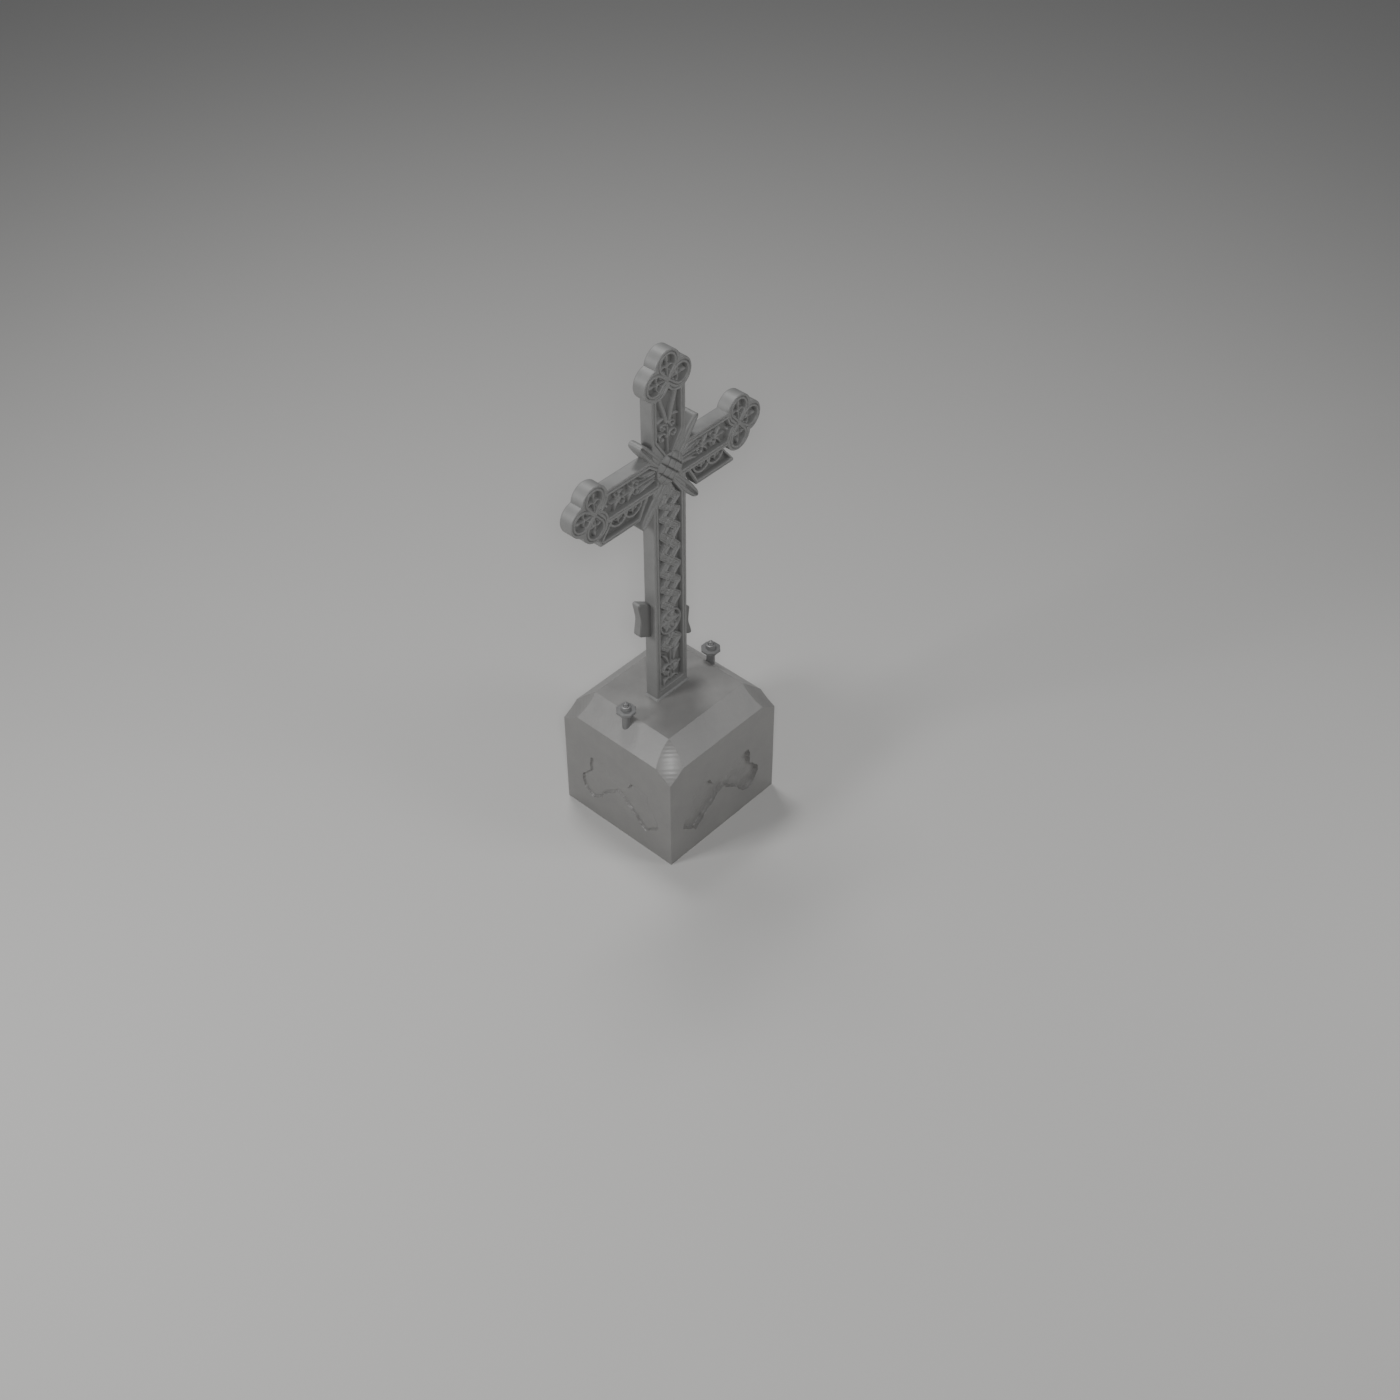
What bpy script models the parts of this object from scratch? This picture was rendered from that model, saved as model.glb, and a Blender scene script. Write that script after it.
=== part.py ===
"""A cast grave cross with budded ends on a dressed stone plinth, between two anchor studs.

Metres, +Z up. The plinth's underside is centred on the origin, the cross's carved side faces -Y
and its arms run along X.
"""

import math

import bmesh
import bpy
from mathutils import Vector

# Plinth: a block with sloping shoulders and a spoon-shaped cut at each upper corner
PLINTH_WIDTH = 0.420
PLINTH_DEPTH = 0.396
FACE_HEIGHT = 0.337
SHOULDER_RISE = 0.057
SHOULDER_INSET = 0.063
SCOOP_REACH = 0.051
SCOOP_DROP = 0.032
SCOOP_SAG = 0.0066
SCOOP_HALF_WIDTH = 0.055
SCOOP_STEPS = 10

# Flaked patches: one outline on both seen faces, as shares of the face's width from the front
# corner and of the face's height
FLAKE_DEPTH_FRONT = 0.013
FLAKE_DEPTH_LEFT = 0.005
FLAKE_OUTLINE = (
    (0.12, 0.31), (0.20, 0.23), (0.235, 0.19), (0.30, 0.25), (0.33, 0.30), (0.415, 0.365),
    (0.45, 0.42), (0.51, 0.445), (0.53, 0.40), (0.62, 0.33), (0.66, 0.265), (0.70, 0.21),
    (0.75, 0.18), (0.80, 0.215), (0.85, 0.315), (0.84, 0.385), (0.765, 0.48), (0.765, 0.57),
    (0.745, 0.64), (0.685, 0.63), (0.635, 0.655), (0.60, 0.64), (0.57, 0.57), (0.505, 0.565),
    (0.405, 0.565), (0.375, 0.63), (0.34, 0.645), (0.25, 0.635), (0.215, 0.62), (0.21, 0.545),
    (0.15, 0.435), (0.125, 0.39),
)

# Cross: one casting, let into the plinth by the foot of its shaft
CROSS_THICKNESS = 0.040
CROSS_BACKSET = 0.008
SHAFT_WIDTH = 0.118
ARM_WIDTH = 0.099
CROSSING_HEIGHT = 0.740
ARM_REACH = 0.257
TOP_REACH = 0.255
LOBE_OFFSET = 0.0375
LOBE_RADIUS = 0.0445
TENON_LENGTH = 0.060
TENON_SET_IN = 0.006
FLARE_HEIGHT = 0.009
FLARE_REACH = 0.008
SEAT_GAP = 0.0003

# Frames and recesses of the carved side
RIM_WIDTH = 0.0165
LOBE_RIM = 0.0135
SILL_HEIGHT = 0.034
RECESS_DEPTH = 0.012
POCKET_RADIUS = 0.024
POCKET_START = 0.007
THROAT_WIDTH = 0.020
THROAT_LENGTH = 0.050
ARM_THROAT = 0.024

# Boss: a low dome scored into lozenges
BOSS_RADIUS = 0.046
BOSS_HEIGHT = 0.013
BOSS_GROOVE_DEPTH = 0.003
BOSS_GROOVE_WIDTH = 0.0035
BOSS_CELL = 0.024
DOME_RINGS = (1.0, 0.96, 0.80, 0.55, 0.22)
GROOVE_STEPS = 8

# Rays: four long leaves in the angles between the arms
RAY_SPREAD = 0.100
RAY_RISE = 0.124
RAY_DROP = 0.014
RAY_WIDTH = 0.027
RAY_PROUD = 0.0025
RAY_GROOVE_DEPTH = 0.0035
RAY_TIP_SHARE = 0.12
RAY_STATIONS = (
    (0.20, 0.42), (0.40, 0.50), (0.60, 0.52), (0.80, 0.40), (0.95, 0.24), (1.0, RAY_TIP_SHARE),
)
RAY_EDGE_SHARE = 0.6

# Hanging panels: one below each arm, set back behind the frame
PANEL_DROP = 0.061
PANEL_INNER_TOP = 0.068
PANEL_INNER_FOOT = 0.102
PANEL_OUTER_TOP = 0.200
PANEL_OUTER_FOOT = 0.247
PANEL_SETBACK = 0.004
PANEL_RIM = 0.012
PANEL_END_RIM = 0.005

# Slanted foot bar: behind the shaft, notched like a swallow's tail at both ends
BAR_HEIGHT = 0.237
BAR_LEFT_END = ((-0.099, 0.001), (-0.091, 0.0525), (-0.104, 0.117))
BAR_RIGHT_END = ((0.0915, -0.009), (0.086, -0.055), (0.1025, -0.112))
BAR_SETBACK = 0.0185
BAR_THICKNESS = 0.0265
BACK_STEP = 0.0015

# Carving: stems, curls and leaves on the floor of a recess
STEM_WIDTH = 0.0085
CURL_WIDTH = 0.0065
STEM_LEVEL = 0.0022
CURL_LEVEL = 0.0034
ROOT_OVERLAP = 0.002
LAYER_STEP = 0.00013
LEAF_CORNERS = ((0.0, 0.0), (0.3, -1.0), (0.7, -0.8), (1.0, 0.0), (0.7, 0.8), (0.3, 1.0))
PLAIT_LENGTHS = 5
PLAIT_SWING = 0.032
PLAIT_START = 0.292
SPRAY_LENGTH = 0.09125
MEDALLION_HEIGHT = 0.249
MEDALLION_RADIUS = 0.034
LOW_LOZENGE_HEIGHT = 0.172
PETALS = 6

# Anchor studs with flanged nuts, one on each side shoulder
STUD_EDGE = 0.043
STUD_DIAMETER = 0.024
THREAD_DIAMETER = 0.0145
STUD_SOCKET = 0.035
NUT_LIFT = 0.017
CONE_HEIGHT = 0.010
FLANGE_ACROSS = 0.052
FLANGE_THICKNESS = 0.009
FLANGE_SIDES = 8
FLANGE_BEVEL = 0.0015
COLLAR_DIAMETER = 0.028
COLLAR_HEIGHT = 0.013
THREAD_STANDOUT = 0.012
FIT_CLEARANCE = 0.0003
ROUND_SIDES = 24
SHARP_ANGLE = 40.0

# Values that follow from those above
PLINTH_HEIGHT = FACE_HEIGHT + SHOULDER_RISE
ARM_HALF = ARM_WIDTH / 2
SHAFT_HALF = SHAFT_WIDTH / 2
TOP_CENTRE = CROSSING_HEIGHT + TOP_REACH
PLAIT_TOP = CROSSING_HEIGHT - BOSS_RADIUS - SPRAY_LENGTH
PLAIT_PITCH = (PLAIT_TOP - PLAIT_START) / (PLAIT_LENGTHS + 0.5)
FRONT = -CROSS_THICKNESS / 2
FOOT = (0.0, CROSS_BACKSET, PLINTH_HEIGHT + SEAT_GAP)
POCKET_OFFSET = LOBE_OFFSET + LOBE_RADIUS - LOBE_RIM - POCKET_RADIUS
OVERRUN = 0.010


def clear_scene():
    for item in list(bpy.data.objects):
        bpy.data.objects.remove(item, do_unlink=True)


def material(name, colour, roughness, metallic):
    made = bpy.data.materials.new(name)
    made.use_nodes = True
    shader = made.node_tree.nodes["Principled BSDF"]
    shader.inputs["Base Color"].default_value = (*colour, 1.0)
    shader.inputs["Roughness"].default_value = roughness
    shader.inputs["Metallic"].default_value = metallic
    return made


def finish(name, form, location, surface=None, rounded=False):
    """Turns a bmesh into an object with its faces outwards, at its place."""
    bmesh.ops.recalc_face_normals(form, faces=form.faces)
    mesh = bpy.data.meshes.new(name)
    form.to_mesh(mesh)
    form.free()
    if rounded:
        mesh.shade_smooth()
        mesh.set_sharp_from_angle(angle=math.radians(SHARP_ANGLE))
    if surface:
        mesh.materials.append(surface)
    made = bpy.data.objects.new(name, mesh)
    made.location = location
    bpy.context.scene.collection.objects.link(made)
    return made


def shape(target, tool, operation, own_overlaps=False):
    """Adds one Boolean step, and hides the tool from renders."""
    step = target.modifiers.new(tool.name, "BOOLEAN")
    step.operation = operation
    step.object = tool
    step.use_self = own_overlaps
    tool.hide_render = True
    tool.display_type = "WIRE"


def loft(form, rings):
    """Closes a stack of equal rings into one body with a flat cap at each end."""
    rings = [[form.verts.new(point) for point in ring] for ring in rings]
    form.faces.new(rings[0])
    form.faces.new(rings[-1][::-1])
    count = len(rings[0])
    for near, far in zip(rings, rings[1:]):
        for i in range(count):
            j = (i + 1) % count
            form.faces.new((near[j], near[i], far[i], far[j]))


def block(form, low, high):
    """A box between two corners."""
    corners = ((low[0], low[1]), (high[0], low[1]), (high[0], high[1]), (low[0], high[1]))
    loft(form, [[(x, y, z) for x, y in corners] for z in (low[2], high[2])])


def prism(form, outline, near, far):
    """An (x, z) outline between two depths behind the cross's front."""
    loft(form, [[(x, FRONT + depth, z) for x, z in outline] for depth in (near, far)])


def turned(form, profile, sides, turn=0.0):
    """A round or many-sided body from (radius, height) pairs, from the bottom up."""
    angles = [turn + math.tau * i / sides for i in range(sides)]
    loft(form, [[(r * math.cos(a), r * math.sin(a), z) for a in angles] for r, z in profile])


def arc(centre, radius, start, end, step=15.0):
    """Points on a circle from one angle to another, in degrees, both ends included."""
    count = max(1, round(abs(end - start) / step))
    angles = [math.radians(start + (end - start) * i / count) for i in range(count + 1)]
    return [(centre[0] + radius * math.cos(a), centre[1] + radius * math.sin(a)) for a in angles]


def bearing(centre, point):
    """The angle of a point seen from a centre, in degrees."""
    return math.degrees(math.atan2(point[1] - centre[1], point[0] - centre[0]))


def placed(points, origin, direction):
    """Local points, outwards and leftwards, set at an origin on the cross."""
    (x, z), (c, s) = origin, direction
    return [(x + u * c - v * s, z + u * s + v * c) for u, v in points]


def mirrored(points):
    return [(u, -v) for u, v in points]


RIGHT = ((ARM_REACH, CROSSING_HEIGHT), (1.0, 0.0))
LEFT = ((-ARM_REACH, CROSSING_HEIGHT), (-1.0, 0.0))
TOP = ((0.0, TOP_CENTRE), (0.0, 1.0))
ENDS = (RIGHT, TOP, LEFT)


def budded_end(half_width):
    """The outline round three lobes, from one side of the arm to the other."""
    root = -math.sqrt(LOBE_RADIUS**2 - (half_width - LOBE_OFFSET) ** 2)
    notch = (LOBE_OFFSET + math.sqrt(2 * LOBE_RADIUS**2 - LOBE_OFFSET**2)) / 2
    side, tip = (0.0, -LOBE_OFFSET), (LOBE_OFFSET, 0.0)
    start = bearing(side, (root, -half_width)) % 360 - 360
    first = arc(side, LOBE_RADIUS, start, bearing(side, (notch, -notch)))
    half_tip = bearing(tip, (notch, notch))
    middle = arc(tip, LOBE_RADIUS, -half_tip, half_tip)
    last = mirrored(first)[::-1]
    return first + middle[1:-1] + last


def cross_outline():
    """The cross seen from the front, up its right side and down its left."""
    right, left = (placed(budded_end(ARM_HALF), *end) for end in (RIGHT, LEFT))
    top = placed(budded_end(SHAFT_HALF), *TOP)
    low, high = CROSSING_HEIGHT - ARM_HALF, CROSSING_HEIGHT + ARM_HALF
    return [
        (SHAFT_HALF, 0.0), (SHAFT_HALF, low), *right, (SHAFT_HALF, high), *top,
        (-SHAFT_HALF, high), *left, (-SHAFT_HALF, low), (-SHAFT_HALF, 0.0),
    ]


def lobed_end(half_width):
    """The end of a recess, bounded by the round backs of the two side lobes."""
    side = (0.0, -LOBE_OFFSET)
    edge = (-math.sqrt(LOBE_RADIUS**2 - (half_width - LOBE_OFFSET) ** 2), -half_width)
    middle = (-math.sqrt(LOBE_RADIUS**2 - LOBE_OFFSET**2), 0.0)
    first = arc(side, LOBE_RADIUS, bearing(side, edge) % 360, bearing(side, middle))
    return first + mirrored(first)[-2::-1]


def recess_outlines():
    """The floors of the shaft, the upper arm and the two side arms."""
    half = SHAFT_HALF - RIM_WIDTH
    throat = THROAT_WIDTH / 2
    low = CROSSING_HEIGHT - BOSS_RADIUS
    high = CROSSING_HEIGHT + BOSS_RADIUS
    shaft = [
        (-half, SILL_HEIGHT), (half, SILL_HEIGHT), (half, low - THROAT_LENGTH),
        (throat, low + ROOT_OVERLAP), (-throat, low + ROOT_OVERLAP), (-half, low - THROAT_LENGTH),
    ]
    upper = [
        (-half, high + THROAT_LENGTH), (-throat, high - ROOT_OVERLAP),
        (throat, high - ROOT_OVERLAP), (half, high + THROAT_LENGTH),
    ]
    upper += placed(lobed_end(half), *TOP)
    outlines = [shaft, upper]
    half = ARM_HALF - RIM_WIDTH
    for side, end in ((1, RIGHT), (-1, LEFT)):
        upper_corner = (side * (BOSS_RADIUS + ARM_THROAT), CROSSING_HEIGHT + half)
        lower_corner = (side * (BOSS_RADIUS - ROOT_OVERLAP), CROSSING_HEIGHT - half)
        root = (side * (BOSS_RADIUS - 2 * ROOT_OVERLAP), CROSSING_HEIGHT + throat)
        floor = placed(lobed_end(half), *end)
        ring = [upper_corner, root, lower_corner] if side > 0 else [lower_corner, root, upper_corner]
        outlines.append(ring + floor)
    return outlines


def pocket():
    """A drop-shaped pocket in one lobe, pointing at the middle of the trefoil."""
    spread = math.degrees(math.acos(POCKET_RADIUS / (POCKET_OFFSET - POCKET_START)))
    round_part = arc((POCKET_OFFSET, 0.0), POCKET_RADIUS, spread - 180, 180 - spread, 25.0)
    return [(POCKET_START, 0.0), *round_part]


def turned_by(points, degrees):
    """Points turned about the local origin."""
    c, s = math.cos(math.radians(degrees)), math.sin(math.radians(degrees))
    return [(u * c - v * s, u * s + v * c) for u, v in points]


def ridge(layer, points, width, level, closed=False):
    """A stem with sloping flanks along a line, from below the floor up to its level."""
    form, step = layer
    level += step
    count = len(points)
    rings = []
    for i, (x, z) in enumerate(points):
        before = points[i - 1] if i or closed else points[0]
        after = points[(i + 1) % count] if i < count - 1 or closed else points[-1]
        along = Vector((after[0] - before[0], after[1] - before[1])).normalized()
        across = Vector((-along.y, along.x)) * width / 2
        floor, top = FRONT + RECESS_DEPTH + ROOT_OVERLAP, FRONT + level
        rings.append([
            (x - across.x, floor, z - across.y), (x - across.x / 2, top, z - across.y / 2),
            (x + across.x / 2, top, z + across.y / 2), (x + across.x, floor, z + across.y),
        ])
    if not closed:
        loft(form, rings)
        return
    rings = [[form.verts.new(point) for point in ring] for ring in rings]
    for near, far in zip(rings, rings[1:] + rings[:1]):
        for i in range(4):
            j = (i + 1) % 4
            form.faces.new((near[j], near[i], far[i], far[j]))


def swelling(layer, outline, level, taper):
    """A leaf, bud or berry: an outline that narrows towards its top."""
    form, step = layer
    level += step
    middle = [sum(point[i] for point in outline) / len(outline) for i in (0, 1)]
    small = [tuple(middle[i] + (point[i] - middle[i]) * taper for i in (0, 1)) for point in outline]
    floor, top = FRONT + RECESS_DEPTH + ROOT_OVERLAP, FRONT + level
    loft(form, [[(x, floor, z) for x, z in outline], [(x, top, z) for x, z in small]])


def curl(start, heading, radius, sweep, steps=6, tightening=0.5):
    """A tendril that leaves a point along a heading in degrees and rolls up, as local points."""
    points = [start]
    turn = sweep / steps
    chord = 2 * radius * math.sin(math.radians(abs(turn)) / 2)
    for i in range(steps):
        reach = chord * (1 - tightening * i / (steps - 1))
        heading += turn / 2
        last = points[-1]
        points.append((
            last[0] + reach * math.cos(math.radians(heading)),
            last[1] + reach * math.sin(math.radians(heading)),
        ))
        heading += turn / 2
    return points


def leaf(tip_at, root_at, width):
    """A six-cornered leaf on the line from its root to its tip, as local points."""
    along = Vector(tip_at) - Vector(root_at)
    across = Vector((-along.y, along.x)).normalized() * width / 2
    root = Vector(root_at)
    return [tuple(root + along * share + across * side) for share, side in LEAF_CORNERS]


def spray(layers, at, origin, direction, size):
    """A leaf spray across an arm's stem: a curl on each side and a bud."""
    for side in (1, -1):
        roll = curl((at, 0.0), side * 60, size, side * 250)
        ridge(layers["curls", side], placed(roll, origin, direction), CURL_WIDTH, CURL_LEVEL)
    bud = placed(leaf((at + 1.5 * size, 0.0), (at - 0.6 * size, 0.0), 1.1 * size), origin, direction)
    swelling(layers["leaves", 1], bud, CURL_LEVEL + ROOT_OVERLAP / 2, 0.5)


def side_arm_carving(layers, facing):
    """A straight stem from the boss with two sprays and a berry before the trefoil."""
    frame = ((0.0, CROSSING_HEIGHT), (facing, 0.0))
    end = ARM_REACH - LOBE_RADIUS
    stem = [(BOSS_RADIUS - ROOT_OVERLAP, 0.0), (end, 0.0)]
    ridge(layers["stems", 1], placed(stem, *frame), STEM_WIDTH, STEM_LEVEL + 2 * ROOT_OVERLAP)
    half = ARM_HALF - RIM_WIDTH
    for side in (1, -1):
        root = (BOSS_RADIUS * 0.95, side * half * 0.35)
        blade = leaf((end * 0.49, side * half * 0.72), root, half * 0.4)
        swelling(layers["leaves", side], placed(blade, *frame), CURL_LEVEL, 0.45)
    for share in (0.575, 0.80):
        spray(layers, share * end, *frame, half * 0.36)
    berry = arc((end + 0.005, 0.0), 0.0075, 0, 315, 45)
    swelling(layers["leaves", 1], placed(berry, *frame), STEM_LEVEL, 0.55)


def upper_arm_carving(layers):
    """Two stems that part towards the trefoil, over curls and a pair of rolled leaves."""
    frame = ((0.0, CROSSING_HEIGHT), (0.0, 1.0))
    end = TOP_REACH - LOBE_RADIUS
    half = SHAFT_HALF - RIM_WIDTH
    for side in (1, -1):
        stem = [
            (end * 0.42, side * 0.004), (end * 0.79, side * 0.005),
            (end * 0.86, side * 0.011), (end + 0.006, side * half * 0.68),
        ]
        upper = curl((end * 0.72, side * 0.008), side * 20, half * 0.34, side * 230)
        lower = curl((end * 0.50, side * 0.006), side * 200, half * 0.42, side * 240)
        blade = leaf((end * 0.60, side * half * 0.92), (end * 0.64, side * 0.002), half * 0.34)
        ridge(layers["stems", side], placed(stem, *frame), STEM_WIDTH, STEM_LEVEL)
        ridge(layers["curls", side], placed(upper, *frame), CURL_WIDTH, CURL_LEVEL)
        ridge(layers["curls", side], placed(lower, *frame), CURL_WIDTH, CURL_LEVEL)
        swelling(layers["leaves", side], placed(blade, *frame), CURL_LEVEL - 0.0006, 0.45)
    bud = leaf((end * 0.24, 0.0), (end * 0.46, 0.0), half * 0.5)
    swelling(layers["leaves", 1], placed(bud, *frame), CURL_LEVEL + 0.0004, 0.5)


def plait(first, lengths, side):
    """One of two strands that cross between lozenges, as local points up the shaft."""
    steps = 4
    return [
        (first + PLAIT_PITCH * i / steps, side * PLAIT_SWING * math.cos(math.pi * i / steps))
        for i in range(lengths * steps + 1)
    ]


def shaft_carving(layers):
    """From the sill up: foliage, a lozenge, a round medallion, a plait and a spray under the boss."""
    frame = ((0.0, 0.0), (0.0, 1.0))
    half = SHAFT_HALF - RIM_WIDTH
    top = CROSSING_HEIGHT - BOSS_RADIUS
    for side in (1, -1):
        strand = plait(PLAIT_START + PLAIT_PITCH / 2, PLAIT_LENGTHS, side)
        low = [
            (LOW_LOZENGE_HEIGHT + PLAIT_PITCH * share, side * PLAIT_SWING * math.cos(math.pi * share))
            for share in (-0.45, -0.25, 0.0, 0.25, 0.45)
        ]
        ridge(layers["stems", side], placed(strand, *frame), STEM_WIDTH, STEM_LEVEL)
        ridge(layers["stems", side], placed(low, *frame), STEM_WIDTH, STEM_LEVEL)
        for height, size, lean in ((0.058, 0.33, 30), (0.098, 0.36, 60)):
            roll = curl((height, side * 0.004), side * lean, half * size, side * 260)
            ridge(layers["curls", side], placed(roll, *frame), CURL_WIDTH, CURL_LEVEL)
        root = (top - 2 * ROOT_OVERLAP, side * 2 * ROOT_OVERLAP)
        blade = leaf((top - 0.052, side * half * 0.55), root, half * 0.30)
        swelling(layers["leaves", side], placed(blade, *frame), CURL_LEVEL, 0.45)
        for k in range(PLAIT_LENGTHS):
            height = PLAIT_START + PLAIT_PITCH * (k + 1)
            root = (height, side * half * 0.30)
            knot = leaf((height, side * half * 0.98), root, PLAIT_PITCH * 0.22)
            swelling(layers["leaves", side], placed(knot, *frame), CURL_LEVEL + 0.0016, 0.5)
    stalk = [(SILL_HEIGHT + 0.004, 0.0), (LOW_LOZENGE_HEIGHT - PLAIT_PITCH / 2, 0.0)]
    ridge(layers["middle", 1], placed(stalk, *frame), STEM_WIDTH, STEM_LEVEL + 0.0012)
    ring = arc((MEDALLION_HEIGHT, 0.0), MEDALLION_RADIUS, 0, 345, 15.0)
    ridge(layers["middle", 1], placed(ring, *frame), STEM_WIDTH, STEM_LEVEL - 0.0004, closed=True)
    for i in range(PETALS):
        petal = leaf((MEDALLION_RADIUS * 0.84, 0.0), (0.005, 0.0), 0.012)
        petal = [(MEDALLION_HEIGHT + u, v) for u, v in turned_by(petal, 360 * (i + 0.5) / PETALS)]
        swelling(layers["leaves", 1 - 2 * (i % 2)], placed(petal, *frame), CURL_LEVEL, 0.45)
    heart = arc((MEDALLION_HEIGHT, 0.0), 0.007, 0, 315, 45)
    swelling(layers["middle", 1], placed(heart, *frame), STEM_LEVEL - 0.0008, 0.6)


def lobe_carving(layers, origin, direction, degrees):
    """A stalk in one pocket that ends in two curls."""
    stalk = turned_by([(POCKET_START * 0.8, 0.0), (POCKET_OFFSET, 0.0)], degrees)
    for side in (1, -1):
        roll = curl((POCKET_OFFSET - 0.008, side * 0.002), side * 35, 0.0105, side * 215, 5)
        roll = placed(turned_by(roll, degrees), origin, direction)
        ridge(layers["curls", side], roll, CURL_WIDTH * 0.85, CURL_LEVEL)
    ridge(layers["middle", 1], placed(stalk, origin, direction), CURL_WIDTH, STEM_LEVEL)


def panel_outline(inset, end_inset, lift):
    """The slanted outline of the panel below the right arm, drawn in by two rims."""
    top = CROSSING_HEIGHT - ARM_HALF + lift
    foot = CROSSING_HEIGHT - ARM_HALF - PANEL_DROP + inset
    lean_in = (PANEL_INNER_FOOT - PANEL_INNER_TOP) / PANEL_DROP
    lean_out = (PANEL_OUTER_FOOT - PANEL_OUTER_TOP) / PANEL_DROP
    return [
        (PANEL_INNER_TOP - lift * lean_in + inset, top),
        (PANEL_INNER_FOOT - inset * lean_in + inset, foot),
        (PANEL_OUTER_FOOT - inset * lean_out - end_inset, foot),
        (PANEL_OUTER_TOP - lift * lean_out - end_inset, top),
    ]


def panel_carving(layers, facing):
    """Two festoons with a curl in each, hanging from the arm's lower rim."""
    frame = ((0.0, CROSSING_HEIGHT - ARM_HALF), (facing, 0.0))
    radius = (PANEL_DROP - PANEL_RIM) * 0.62
    for share in (0.22, 0.74):
        middle = PANEL_INNER_FOOT + (PANEL_OUTER_TOP - PANEL_INNER_FOOT) * share
        festoon = arc((middle, 0.0), radius, 180, 360, 25.0)
        roll = curl((middle - radius * 0.45, 0.0), -100, radius * 0.42, 250)
        for layer, piece in (("stems", festoon), ("curls", roll)):
            line = placed([(u, v * facing) for u, v in piece], *frame)
            ridge(layers[layer, 1], line, CURL_WIDTH, CURL_LEVEL + PANEL_SETBACK)


def ray(form, sign_x, sign_z):
    """A long leaf from under the boss to its tip, with a groove between two raised edges."""
    middle = Vector((0.0, CROSSING_HEIGHT - RAY_DROP))
    along = Vector((sign_x * RAY_SPREAD, sign_z * RAY_RISE))
    across = Vector((-along.y, along.x)).normalized() * RAY_WIDTH
    back = CROSS_THICKNESS - BACK_STEP
    rings = []
    for share, half in RAY_STATIONS:
        place = middle + along * share
        fullness = (half - RAY_TIP_SHARE) / (0.5 - RAY_TIP_SHARE)
        groove = RAY_GROOVE_DEPTH * fullness - RAY_PROUD - LAYER_STEP
        section = (
            (-1.0, back), (-1.0, 0.0), (-RAY_EDGE_SHARE, -RAY_PROUD), (0.0, groove),
            (RAY_EDGE_SHARE, -RAY_PROUD), (1.0, 0.0), (1.0, back),
        )
        points = [(place + across * half * side, depth) for side, depth in section]
        rings.append([(point.x, FRONT + depth, point.y) for point, depth in points])
    loft(form, rings)


def bar_outline():
    """The slanted bar, with its left end the higher one."""
    return [(x, BAR_HEIGHT + z) for x, z in BAR_LEFT_END + BAR_RIGHT_END]


def dome(form, radius, height, sink):
    """A low cap on the cross's front, with a straight foot that sinks into it."""
    angles = [math.tau * (i + 0.3) / ROUND_SIDES for i in range(ROUND_SIDES)]
    rings = [(radius * share, height * math.sqrt(1 - share**2)) for share in DOME_RINGS]
    stack = [(radius, -sink), *rings]
    loft(form, [
        [(r * math.cos(a), FRONT - rise, CROSSING_HEIGHT + r * math.sin(a)) for a in angles]
        for r, rise in stack
    ])


def boss_groove(form, lean, offset):
    """One groove across the dome at an even depth below its round surface."""
    reach = math.sqrt(BOSS_RADIUS**2 - offset**2) * 1.05
    half = BOSS_GROOVE_WIDTH / 2
    open_air = -BOSS_HEIGHT - OVERRUN
    rings = []
    for i in range(GROOVE_STEPS + 1):
        along = reach * (2 * i / GROOVE_STEPS - 1)
        out = min(1.0, math.hypot(along, offset) / BOSS_RADIUS)
        bottom = BOSS_GROOVE_DEPTH - BOSS_HEIGHT * math.sqrt(1 - out**2)
        corners = turned_by([(along, offset - half), (along, offset + half)], lean)
        near, far = [(x, CROSSING_HEIGHT + z) for x, z in corners]
        section = ((near, bottom), (far, bottom), (far, open_air), (near, open_air))
        rings.append([(x, FRONT + depth, z) for (x, z), depth in section])
    loft(form, rings)


def build_boss():
    """A dome scored by three grooves each way, which leave lozenges."""
    form = bmesh.new()
    dome(form, BOSS_RADIUS, BOSS_HEIGHT, RECESS_DEPTH)
    boss = finish("boss", form, FOOT)
    for name, lean in (("boss_grooves_up", 45), ("boss_grooves_down", -45)):
        grooves = bmesh.new()
        for place in (-1.0, 0.0, 1.0):
            boss_groove(grooves, lean, place * BOSS_CELL)
        shape(boss, finish(name, grooves, FOOT), "DIFFERENCE")
    return boss


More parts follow.
